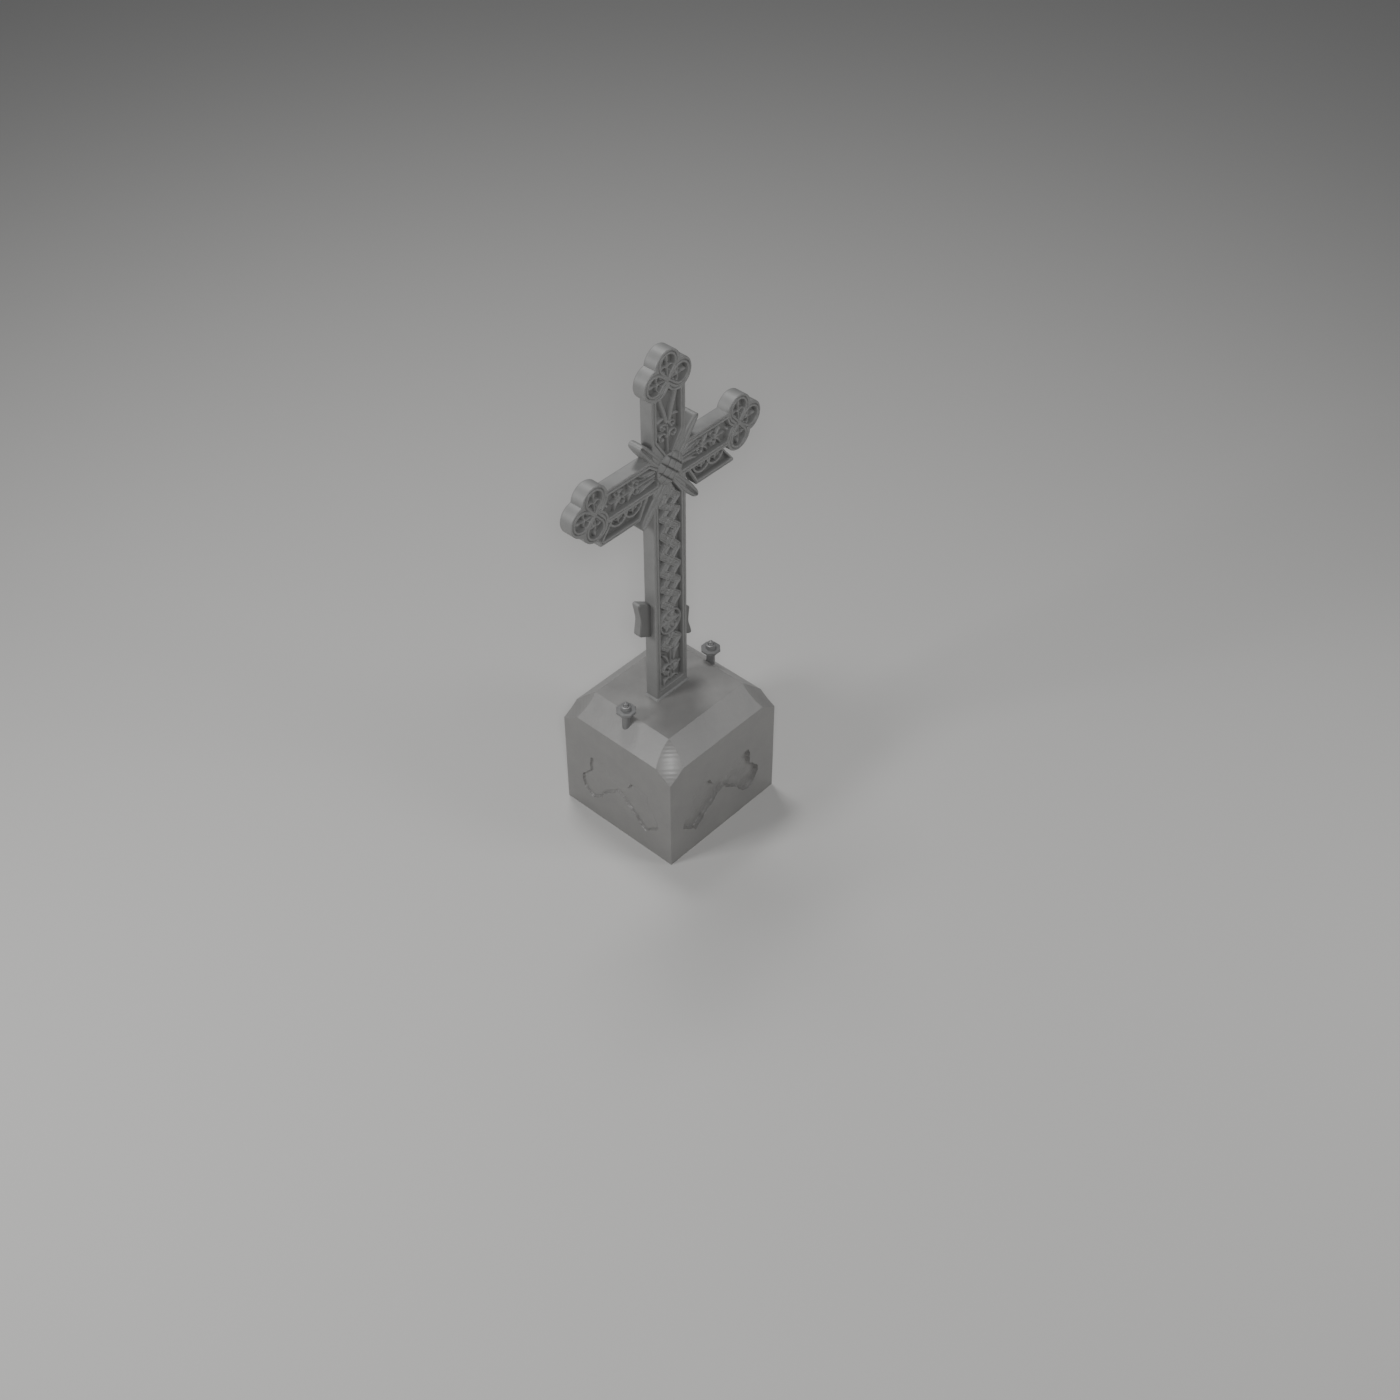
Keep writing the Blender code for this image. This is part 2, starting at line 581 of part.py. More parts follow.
def build_cross(surface):
    """The whole casting: its outline, what stands out of it, its hollows and their carving."""
    body = bmesh.new()
    prism(body, cross_outline(), 0.0, CROSS_THICKNESS)
    cross = finish("cross", body, FOOT, surface)

    outworks = bmesh.new()
    for sign_x in (1, -1):
        panel = [(sign_x * x, z) for x, z in panel_outline(0.0, 0.0, OVERRUN)]
        prism(outworks, panel, PANEL_SETBACK, CROSS_THICKNESS - 2 * BACK_STEP)
        for sign_z in (1, -1):
            ray(outworks, sign_x, sign_z)
    prism(outworks, bar_outline(), BAR_SETBACK, BAR_SETBACK + BAR_THICKNESS)
    tenon = SHAFT_HALF - TENON_SET_IN
    half_depth = CROSS_THICKNESS / 2 - TENON_SET_IN
    block(outworks, (-tenon, -half_depth, -TENON_LENGTH), (tenon, half_depth, OVERRUN))
    foot = [
        [(x * wide, y * deep, z) for x, y in ((-1, -1), (1, -1), (1, 1), (-1, 1))]
        for wide, deep, z in (
            (SHAFT_HALF + FLARE_REACH, CROSS_THICKNESS / 2 + FLARE_REACH, SEAT_GAP),
            (SHAFT_HALF - 0.001, CROSS_THICKNESS / 2 - 0.001, FLARE_HEIGHT),
        )
    ]
    loft(outworks, foot)
    shape(cross, finish("cross_outworks", outworks, FOOT), "UNION", own_overlaps=True)

    hollows = bmesh.new()
    for outline in recess_outlines():
        prism(hollows, outline, -OVERRUN, RECESS_DEPTH)
    for origin, direction in ENDS:
        for degrees in (-90, 0, 90):
            drop = placed(turned_by(pocket(), degrees), origin, direction)
            prism(hollows, drop, -OVERRUN, RECESS_DEPTH)
    for sign_x in (1, -1):
        panel = [(sign_x * x, z) for x, z in panel_outline(PANEL_RIM, PANEL_END_RIM, -SEAT_GAP)]
        prism(hollows, panel, -OVERRUN, RECESS_DEPTH + PANEL_SETBACK)
    shape(cross, finish("cross_hollows", hollows, FOOT), "DIFFERENCE")

    kinds = [(kind, side) for kind in ("stems", "curls", "leaves") for side in (1, -1)]
    kinds.append(("middle", 1))
    layers = {key: (bmesh.new(), LAYER_STEP * i) for i, key in enumerate(kinds)}
    shaft_carving(layers)
    upper_arm_carving(layers)
    for side in (1, -1):
        side_arm_carving(layers, side)
        panel_carving(layers, side)
    for origin, direction in ENDS:
        for degrees in (-90, 0, 90):
            lobe_carving(layers, origin, direction, degrees)
    for (kind, side), (form, _) in layers.items():
        shape(cross, finish(f"carved_{kind}_{'left' if side > 0 else 'right'}", form, FOOT), "UNION")

    shape(cross, build_boss(), "UNION")
    return cross


def scoop(form, corner):
    """A long shallow bowl that cuts one upper corner.

    Its middle line runs from the foot of the cut on the corner's upright edge to the corner of the
    flat top, and it meets each face's upper edge at the scoop's reach.
    """
    foot = Vector((0.0, 0.0, FACE_HEIGHT - SCOOP_DROP))
    head = Vector((SHOULDER_INSET, SHOULDER_INSET, PLINTH_HEIGHT))
    side = Vector((0.0, SCOOP_REACH, FACE_HEIGHT)) - foot
    along = (head - foot).normalized()
    lateral = Vector((-1.0, 1.0, 0.0)).normalized()
    outwards = lateral.cross(along) if lateral.cross(along).z > 0 else along.cross(lateral)
    length = (head - foot).length

    def sag(share):
        return 4 * SCOOP_SAG * share * (1 - share)

    spread = (side.dot(outwards) + sag(side.dot(along) / length)) / side.dot(lateral) ** 2
    rings = []
    for i in range(SCOOP_STEPS + 1):
        share = 1.6 * i / SCOOP_STEPS - 0.3
        middle = foot + along * (share * length) - outwards * sag(share)
        offsets = [SCOOP_HALF_WIDTH * (2 * k / SCOOP_STEPS - 1) for k in range(SCOOP_STEPS + 1)]
        ring = [middle + lateral * v + outwards * spread * v**2 for v in offsets]
        ring += [ring[-1] + outwards * SCOOP_HALF_WIDTH, ring[0] + outwards * SCOOP_HALF_WIDTH]
        rings.append([
            (corner[0] * (PLINTH_WIDTH / 2 - x), corner[1] * (PLINTH_DEPTH / 2 - y), z) for x, y, z in ring
        ])
    loft(form, rings)


def stud_places():
    """Where the studs stand on the two side shoulders."""
    reach = PLINTH_WIDTH / 2 - STUD_EDGE
    return {"left": (-reach, 0.0), "right": (reach, 0.0)}


def shoulder_height(x):
    """The height of a side shoulder at a distance from the plinth's middle."""
    return FACE_HEIGHT + (PLINTH_WIDTH / 2 - abs(x)) * SHOULDER_RISE / SHOULDER_INSET


def build_plinth(surface):
    """The block, less its corner scoops, its flaked patches and the three sockets in its top."""
    body = bmesh.new()
    half_x, half_y = PLINTH_WIDTH / 2, PLINTH_DEPTH / 2
    corners = ((-1, -1), (1, -1), (1, 1), (-1, 1))
    levels = ((0.0, 0.0), (0.0, FACE_HEIGHT), (SHOULDER_INSET, PLINTH_HEIGHT))
    loft(body, [
        [(x * (half_x - inset), y * (half_y - inset), z) for x, y in corners] for inset, z in levels
    ])
    plinth = finish("plinth", body, (0.0, 0.0, 0.0), surface)

    cuts = bmesh.new()
    for corner in corners:
        scoop(cuts, corner)
    front = [(-half_x + PLINTH_WIDTH * s, FACE_HEIGHT * h) for s, h in FLAKE_OUTLINE]
    depths = (-half_y - OVERRUN, -half_y + FLAKE_DEPTH_FRONT)
    loft(cuts, [[(x, y, z) for x, z in front] for y in depths])
    left = [(-half_y + PLINTH_DEPTH * s, FACE_HEIGHT * h) for s, h in FLAKE_OUTLINE]
    depths = (-half_x - OVERRUN, -half_x + FLAKE_DEPTH_LEFT)
    loft(cuts, [[(x, y, z) for y, z in left] for x in depths])
    wide = SHAFT_HALF - TENON_SET_IN + FIT_CLEARANCE
    deep = CROSS_THICKNESS / 2 - TENON_SET_IN + FIT_CLEARANCE
    low = (-wide, CROSS_BACKSET - deep, PLINTH_HEIGHT - TENON_LENGTH - FIT_CLEARANCE)
    block(cuts, low, (wide, CROSS_BACKSET + deep, PLINTH_HEIGHT + OVERRUN))
    reach = (STUD_DIAMETER / 2 + FIT_CLEARANCE) / math.cos(math.pi / ROUND_SIDES)
    angles = [math.tau * (i + 0.5) / ROUND_SIDES for i in range(ROUND_SIDES)]
    for x, y in stud_places().values():
        ring = [(x + reach * math.cos(a), y + reach * math.sin(a)) for a in angles]
        bottom = shoulder_height(x) - STUD_SOCKET - FIT_CLEARANCE
        loft(cuts, [[(*point, z) for point in ring] for z in (bottom, PLINTH_HEIGHT + OVERRUN)])
    shape(plinth, finish("plinth_cuts", cuts, (0.0, 0.0, 0.0)), "DIFFERENCE")
    return plinth


def build_stud(side, place, surface):
    """A shouldered pin let into the shoulder, with a rounded thread end above its nut."""
    foot = shoulder_height(place[0]) - STUD_SOCKET
    neck = PLINTH_HEIGHT + NUT_LIFT
    tip = neck + CONE_HEIGHT + FLANGE_THICKNESS + COLLAR_HEIGHT + THREAD_STANDOUT
    thread = THREAD_DIAMETER / 2
    profile = [(STUD_DIAMETER / 2, foot), (STUD_DIAMETER / 2, neck), (thread, neck)]
    for degrees in (0, 30, 60, 80):
        c, s = math.cos(math.radians(degrees)), math.sin(math.radians(degrees))
        profile.append((thread * c, tip - thread + thread * s))
    form = bmesh.new()
    turned(form, profile, ROUND_SIDES, math.pi / ROUND_SIDES)
    return finish(f"anchor_stud_{side}", form, (*place, 0.0), surface, rounded=True)


def build_nut(side, place, surface):
    """A nut with an eight-sided flange, a cone under it and a round collar over it."""
    base = PLINTH_HEIGHT + NUT_LIFT + FIT_CLEARANCE
    flange = base + CONE_HEIGHT
    top = flange + FLANGE_THICKNESS
    corner = FLANGE_ACROSS / 2 / math.cos(math.pi / FLANGE_SIDES)
    turn = math.pi / FLANGE_SIDES
    profile = [
        (STUD_DIAMETER / 2 / math.cos(turn), base), (corner * 0.8, flange),
        (corner, flange + FLANGE_BEVEL), (corner, top - FLANGE_BEVEL), (corner - FLANGE_BEVEL, top),
    ]
    form = bmesh.new()
    turned(form, profile, FLANGE_SIDES, turn)
    nut = finish(f"flange_nut_{side}", form, (*place, 0.0), surface)
    radius = COLLAR_DIAMETER / 2
    profile = [
        (radius, top - FLANGE_THICKNESS / 2), (radius, top + COLLAR_HEIGHT - FLANGE_BEVEL),
        (radius - FLANGE_BEVEL, top + COLLAR_HEIGHT),
    ]
    collar = bmesh.new()
    turned(collar, profile, ROUND_SIDES)
    shape(nut, finish(f"collar_{side}", collar, (*place, 0.0)), "UNION")
    bore = bmesh.new()
    reach = (THREAD_DIAMETER / 2 + FIT_CLEARANCE) / math.cos(math.pi / ROUND_SIDES)
    turned(bore, [(reach, base - OVERRUN), (reach, top + COLLAR_HEIGHT + OVERRUN)], ROUND_SIDES)
    shape(nut, finish(f"bore_{side}", bore, (*place, 0.0)), "DIFFERENCE")
    return nut


def main():
    """Builds the plinth, the cross, and a stud with its nut on each side."""
    clear_scene()
    stone = material("dressed_stone", (0.16, 0.16, 0.16), 0.85, 0.0)
    iron = material("cast_iron", (0.14, 0.14, 0.14), 0.60, 1.0)
    steel = material("forged_steel", (0.15, 0.15, 0.15), 0.45, 1.0)
    build_plinth(stone)
    build_cross(iron)
    for side, place in stud_places().items():
        build_stud(side, place, steel)
        build_nut(side, place, steel)


main()
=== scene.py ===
"""Looks of a cast grave cross on its stone plinth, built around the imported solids.

Metres, in the frame of the part: +Z up, the cross's carved side faces -Y, arms along X.
"""

import logging
import math
from collections.abc import Callable
from dataclasses import dataclass, field
from enum import Enum

import bmesh
import bpy
import numpy as np
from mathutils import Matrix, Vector, noise
from mathutils.geometry import delaunay_2d_cdt


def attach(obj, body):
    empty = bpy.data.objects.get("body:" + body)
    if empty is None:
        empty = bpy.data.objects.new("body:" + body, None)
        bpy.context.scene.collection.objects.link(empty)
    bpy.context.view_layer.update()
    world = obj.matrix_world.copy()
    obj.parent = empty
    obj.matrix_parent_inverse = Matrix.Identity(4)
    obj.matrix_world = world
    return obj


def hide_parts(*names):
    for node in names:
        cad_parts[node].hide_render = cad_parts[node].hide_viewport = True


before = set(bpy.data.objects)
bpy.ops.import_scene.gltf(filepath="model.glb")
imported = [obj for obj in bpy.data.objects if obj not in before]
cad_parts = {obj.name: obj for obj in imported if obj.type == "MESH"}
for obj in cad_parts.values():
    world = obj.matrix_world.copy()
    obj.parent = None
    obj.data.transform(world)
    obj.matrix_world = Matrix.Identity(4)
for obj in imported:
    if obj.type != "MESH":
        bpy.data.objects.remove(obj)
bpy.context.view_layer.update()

log = logging.getLogger("grave_cross")
MM = 0.001
BODY = "root"
Line = np.ndarray
# A depth or distance beyond everything, for where a form isn't
FAR = 1.0
# The least square of a side's length, so that nothing is divided by zero
LEAST_SQUARE = 1e-18
# How many points are measured against an outline at once, to save memory
BATCH = 4000
# The signs of X and Y at the four corners
QUARTERS = ((-1, -1), (1, -1), (1, 1), (-1, 1))
# Where rows of points run inside an edge, so that its round has enough of them, in millimetres
EDGE_ROWS = (0.4, 1.1, 1.9, 2.7)


class Slot(Enum):
    """The record's material slots."""

    STONE = "dressed_stone"
    IRON = "cast_iron"
    STEEL = "forged_steel"


class Section(Enum):
    """What a carved stroke looks like where it is cut across."""

    ROUND = "round"
    CORDED = "corded"
    VEINED = "veined"


# Shared sizes of the cross, as in the solids

SHAFT_HALF = 0.059
ARM_HALF = 0.0495
CROSSING = 0.740
ARM_REACH = 0.257
TOP_CENTRE = 0.995
LOBE_OFFSET = 0.0375
LOBE_RADIUS = 0.0441
RIM = 0.0165
LOBE_RIM = 0.0135
THICKNESS = 0.040
FLOOR = 0.012
BOSS_RADIUS = 0.046
FOOT_Z = 0.3943
FRONT_Y = -0.012
ENDS = (
    ((ARM_REACH, CROSSING), (1.0, 0.0)),
    ((0.0, TOP_CENTRE), (0.0, 1.0)),
    ((-ARM_REACH, CROSSING), (-1.0, 0.0)),
)


def linear(hex_colour: str) -> tuple[float, float, float, float]:
    """Turns an sRGB hex colour to the linear colour that a shader takes.

    Args:
        hex_colour: six hex digits.

    Returns:
        Linear red, green and blue, and an alpha of one.
    """
    shares = [int(hex_colour[i:i + 2], 16) / 255 for i in (0, 2, 4)]
    made = [s / 12.92 if s <= 0.04045 else ((s + 0.055) / 1.055) ** 2.4 for s in shares]
    return (made[0], made[1], made[2], 1.0)


def arc(centre: tuple[float, float], radius: float, start: float, end: float, step: float = 2.8) -> Line:
    """Points on a circle between two angles in degrees, both ends included.

    Args:
        centre: the circle's middle.
        radius: its radius.
        start: the first angle.
        end: the last angle.
        step: the most that one point is from the next, in degrees.

    Returns:
        The points, one row each.
    """
    angles = np.radians(np.linspace(start, end, max(2, round(abs(end - start) / step) + 1)))
    return np.column_stack([centre[0] + radius * np.cos(angles), centre[1] + radius * np.sin(angles)])


def bearing(centre: tuple[float, float], point: tuple[float, float]) -> float:
    """The angle of a point seen from a centre, in degrees."""
    return math.degrees(math.atan2(point[1] - centre[1], point[0] - centre[0]))


def placed(points: Line, origin: tuple[float, float], direction: tuple[float, float]) -> Line:
    """Sets local points, outwards and leftwards, at a place on the cross.

    Args:
        points: local points.
        origin: where the local origin goes.
        direction: the way outwards there.

    Returns:
        The points on the cross.
    """
    points = np.asarray(points, float)
    along, across = points[:, 0], points[:, 1]
    c, s = direction
    return np.column_stack([origin[0] + along * c - across * s, origin[1] + along * s + across * c])


def compass(degrees: float) -> tuple[float, float]:
    """The cosine and the sine of an angle in degrees."""
    return math.cos(math.radians(degrees)), math.sin(math.radians(degrees))


def turned_by(points: Line, degrees: float) -> Line:
    """Points turned about the local origin.

    Args:
        points: local points.
        degrees: how far they turn, anticlockwise.

    Returns:
        The turned points.
    """
    c, s = compass(degrees)
    points = np.asarray(points, float)
    return np.column_stack([points[:, 0] * c - points[:, 1] * s, points[:, 0] * s + points[:, 1] * c])


def flipped(points: Line) -> Line:
    """Local points mirrored to the other side."""
    return np.asarray(points, float) * (1.0, -1.0)


def tendril(start: tuple[float, float], heading: float, radius: float, sweep: float,
            tightening: float = 0.6, count: int = 26) -> Line:
    """A stem that leaves a point along a heading and rolls up.

    Args:
        start: where it leaves.
        heading: its first direction, in degrees.
        radius: the radius of its first turn.
        sweep: how far it turns in all, in degrees.
        tightening: how much the turn has closed in at its end.
        count: how many points it takes.

    Returns:
        The line of its middle.
    """
    turn = sweep / count
    chord = 2 * radius * math.sin(math.radians(abs(turn)) / 2)
    line = [start]
    for i in range(count):
        reach = chord * (1 - tightening * i / (count - 1))
        heading += turn / 2
        (x, y), (c, s) = line[-1], compass(heading)
        line.append((x + reach * c, y + reach * s))
        heading += turn / 2
    return np.array(line)


def bow(root: tuple[float, float], tip: tuple[float, float], bend: float, count: int = 12) -> Line:
    """A line from a root to a tip that bows to its left.

    Args:
        root: its first point.
        tip: its last point.
        bend: how far it bows, as a share of its length.
        count: how many steps it takes.

    Returns:
        The line.
    """
    share = np.linspace(0, 1, count + 1)[:, None]
    start, end = np.array(root, float), np.array(tip, float)
    side = np.array((start[1] - end[1], end[0] - start[0]))
    return start + (end - start) * share + side * bend * 4 * share * (1 - share)


@dataclass(frozen=True)
class Border:
    """A closed outline that points are measured from."""

    points: Line

    def _ends(self) -> tuple[Line, Line]:
        """The start and the run of each side."""
        return self.points, np.roll(self.points, -1, axis=0) - self.points

    def sampled(self, spacing: float) -> Line:
        """Points along the outline.

        Args:
            spacing: the most that a point is from the next.

        Returns:
            The points, with the corners among them.
        """
        made = []
        for start, run in zip(*self._ends()):
            count = max(1, math.ceil(float(np.hypot(*run)) / spacing))
            made += [start + run * i / count for i in range(count)]
        return np.array(made)

    def offset(self, distance: float, spacing: float) -> Line:
        """Points beside the outline's sides, for a later test of their distance.

        Args:
            distance: how far to the left of each side they are.
            spacing: the most that a point is from the next.

        Returns:
            The points.
        """
        made = []
        for start, run in zip(*self._ends()):
            length = float(np.hypot(*run))
            if length < math.sqrt(LEAST_SQUARE):
                continue
            normal = np.array((-run[1], run[0])) / length
            count = max(1, math.ceil(length / spacing))
            made += [start + run * (i + 0.5) / count + normal * distance for i in range(count)]
        return np.array(made)

    def distance(self, points: Line) -> Line:
        """The signed distance of points to the outline, more than nothing inside.

        Args:
            points: the points to measure.

        Returns:
            One distance for each.
        """
        starts, runs = self._ends()
        lengths = np.maximum((runs**2).sum(1), LEAST_SQUARE)
        flat = 1e-15
        made = np.empty(len(points))
        for first in range(0, len(points), BATCH):
            part = points[first:first + BATCH]
            away = part[:, None, :] - starts[None]
            share = np.clip((away * runs[None]).sum(2) / lengths[None], 0, 1)
            gap = away - share[..., None] * runs[None]
            near = np.sqrt((gap**2).sum(2).min(1))
            level, foot = part[:, None, 1], starts[None, :, 1]
            above = (foot > level) != ((starts + runs)[None, :, 1] > level)
            rise = np.where(np.abs(runs[:, 1]) < flat, flat, runs[:, 1])
            crossing = starts[None, :, 0] + runs[None, :, 0] * (level - foot) / rise[None]
            inside = (above & (part[:, None, 0] < crossing)).sum(1) % 2 == 1
            made[first:first + BATCH] = np.where(inside, near, -near)
        return made

    def signed_near(self, points: Line, margin: float) -> Line:
        """The signed distance near the outline's box, and a far value elsewhere.

        Args:
            points: the points to measure.
            margin: how far round the box still counts as near.

        Returns:
            One distance for each.
        """
        low, high = self.points.min(0) - margin, self.points.max(0) + margin
        near = ((points >= low) & (points <= high)).all(1)
        made = np.full(len(points), -FAR)
        made[near] = self.distance(points[near])
        return made

    def edge_rows(self, gaps: tuple[float, ...], spacing: float, least: float) -> Line:
        """Rows of points inside the outline, along its edge.

        Args:
            gaps: how far in each row runs, in millimetres.
            spacing: the most that a point is from the next.
            least: points nearer to the outline than this are left out.

        Returns:
            The points of all the rows.
        """
        made = np.vstack([self.offset(gap * MM, spacing) for gap in gaps])
        return made[self.distance(made) > least]

    def filled(self, spacing: float, kept: Callable[[Line], Line]) -> Line:
        """Staggered points over the outline's box.

        Args:
            spacing: the distance between points.
            kept: a test that tells which points stay.

        Returns:
            The points that stay.
        """
        points = grid(self.points.min(0), self.points.max(0), spacing)
        return points[kept(points)]


def rows_beside(borders: list[Border], gaps: tuple[float, ...], spacing: float,
                measure: Callable[[Line], Line], slack: float = 0.12 * MM) -> Line:
    """Rows of points beside some outlines, less those that another side is nearer to.

    Args:
        borders: the outlines.
        gaps: how far inside each row runs, in millimetres, and less than nothing outside.
        spacing: the most that a point is from the next.
        measure: the signed distance that a point of a row has to keep.
        slack: how far off it that distance may be.

    Returns:
        The points of all the rows.
    """
    made = []
    for gap in gaps:
        for border in borders:
            row = border.offset(gap * MM, spacing)
            made.append(row[np.abs(measure(row) - gap * MM) < slack])
    return np.vstack(made)


def softened(corners: Line, radii: tuple[float, ...]) -> Line:
    """The outline with rounded corners, and a sharp one where the radius is nothing.

    Args:
        corners: the outline's corners.
        radii: one radius for each corner.

    Returns:
        The points of the softened outline.
    """
    most, points_in_round = 0.45, 8
    made = []
    for i, radius in enumerate(radii):
        here = np.array(corners[i])
        before, after = np.array(corners[i - 1]) - here, np.array(corners[(i + 1) % len(radii)]) - here
        one, other = float(np.hypot(*before)), float(np.hypot(*after))
        before, after = before / one, after / other
        half = math.acos(float(np.clip(before @ after, -1, 1))) / 2
        reach = min(radius / math.tan(half), most * one, most * other)
        shares = np.linspace(0, 1, points_in_round) if radius else np.zeros(1)
        made += [here + before * reach * (1 - t) ** 2 + after * reach * t**2 for t in shares]
    return np.array(made)


def anticlockwise(points: Line) -> Line:
    """The outline in the order that has its inside on the left.

    Args:
        points: the outline, in either order.

    Returns:
        The same points, in that order.
    """
    x, y = points[:, 0], points[:, 1]
    area = (x * np.roll(y, -1) - np.roll(x, -1) * y).sum()
    return points if area > 0 else points[::-1]


@dataclass(frozen=True)
class Stroke:
    """One stem, curl or leaf of the carving."""

    line: Line
    root_half: float
    tip_half: float
    crest: float
    section: Section = Section.ROUND
    belly: float = 0.0

    def depth(self, points: Line, floor: float) -> Line:
        """How deep the stroke leaves each point behind the front.

        Args:
            points: points on the cross.
            floor: the depth of the floor that it stands on.

        Returns:
            The depth of each point, far below the floor where the stroke isn't.
        """
        share_at = np.linspace(0, 1, len(self.line))
        half = self.root_half + (self.tip_half - self.root_half) * share_at
        half = half + self.belly * np.sin(math.pi * share_at**0.85)
        reach = float(half.max())
        low, high = self.line.min(0) - reach, self.line.max(0) + reach
        made = np.full(len(points), FAR)
        near = ((points >= low) & (points <= high)).all(1)
        if not near.any():
            return made
        part = points[near]
        starts, runs = self.line[:-1], np.diff(self.line, axis=0)
        away = part[:, None, :] - starts[None]
        along = np.clip((away * runs[None]).sum(2) / np.maximum((runs**2).sum(1), LEAST_SQUARE)[None], 0, 1)
        gap = np.sqrt(((away - along[..., None] * runs[None]) ** 2).sum(2))
        place = (np.arange(len(runs))[None] + along) / len(runs)
        width = np.interp(place, share_at, half)
        across = gap / np.maximum(width, 0.01 * MM)
        depth = self.crest + (floor - self.crest) * self._fall(across)
        made[near] = np.where(across <= 1.0, depth, FAR).min(1)
        return made

    def _fall(self, across: Line) -> Line:
        """How far the section falls from its crest towards the floor.

        Args:
            across: the place across the stroke, nothing at the middle and one at the side.

        Returns:
            The share of the fall, from nothing to one.
        """
        if self.section is Section.CORDED:
            groove, cord = 0.48, 0.62
            inner = 0.42 * np.clip(1 - across / groove, 0, None) ** 0.8
            outer = np.clip((across - cord) / (1 - cord), 0, None) ** 2.6
            return np.where(across < cord, inner, outer)
        if self.section is Section.VEINED:
            vein = 0.22
            return np.where(across < vein, vein * (1 - across / vein), ((across - vein) / (1 - vein)) ** 2.0)
        return across**2.8


@dataclass(frozen=True)
class Plait:
    """Two flat strands that cross between lozenge-shaped openings, with a cord along every edge.

    Each strand is flat as far as `flat` across, sunk by `sunk` there, has a raised line of `vein`
    along its middle and falls to the floor past `cord`. Notches of `notch_pitch` run across it.
    """

    rows: tuple[float, ...]
    low: float
    high: float
    swing: float
    half: float
    reach: float
    crest: float
    flat: float = 0.70
    sunk: float = 0.34
    vein: float = 0.24
    vein_rise: float = 0.22
    cord: float = 0.88
    notch_pitch: float = 9.0 * MM
    notch: float = 0.05

    def depth(self, points: Line, floor: float) -> Line:
        """How deep the plait leaves each point behind the front.

        Args:
            points: points on the cross.
            floor: the depth of the floor that it stands on.

        Returns:
            The depth of each point, far below the floor where the plait isn't.
        """
        x, z = points.T
        place = np.interp(z, self.rows, np.arange(len(self.rows)))
        wave = 2 * np.abs(place % 2 - 1) - 1
        pitch = (self.rows[-1] - self.rows[0]) / (len(self.rows) - 1)
        lean = 1 / math.hypot(1.0, 2 * self.swing / pitch)
        made = np.full(len(points), FAR)
        for side in (1, -1):
            gap = np.abs(x - side * self.swing * wave) * lean
            across = np.maximum(gap, self.half - (self.reach - np.abs(x))) / self.half
            ridge = self.vein_rise * np.clip(1 - across / self.vein, 0, None)
            band = self.sunk * eased((self.flat - across) / 0.16) - ridge
            notch = self.notch * np.cos(math.tau * z / self.notch_pitch) * (across < 0.50)
            edge = np.clip((across - self.cord) / (1 - self.cord), 0, None) ** 2.0
            depth = self.crest + (floor - self.crest) * (band + notch + edge)
            made = np.minimum(made, np.where(across <= 1.0, depth, FAR))
        return np.where((z >= self.low) & (z <= self.high), made, FAR)


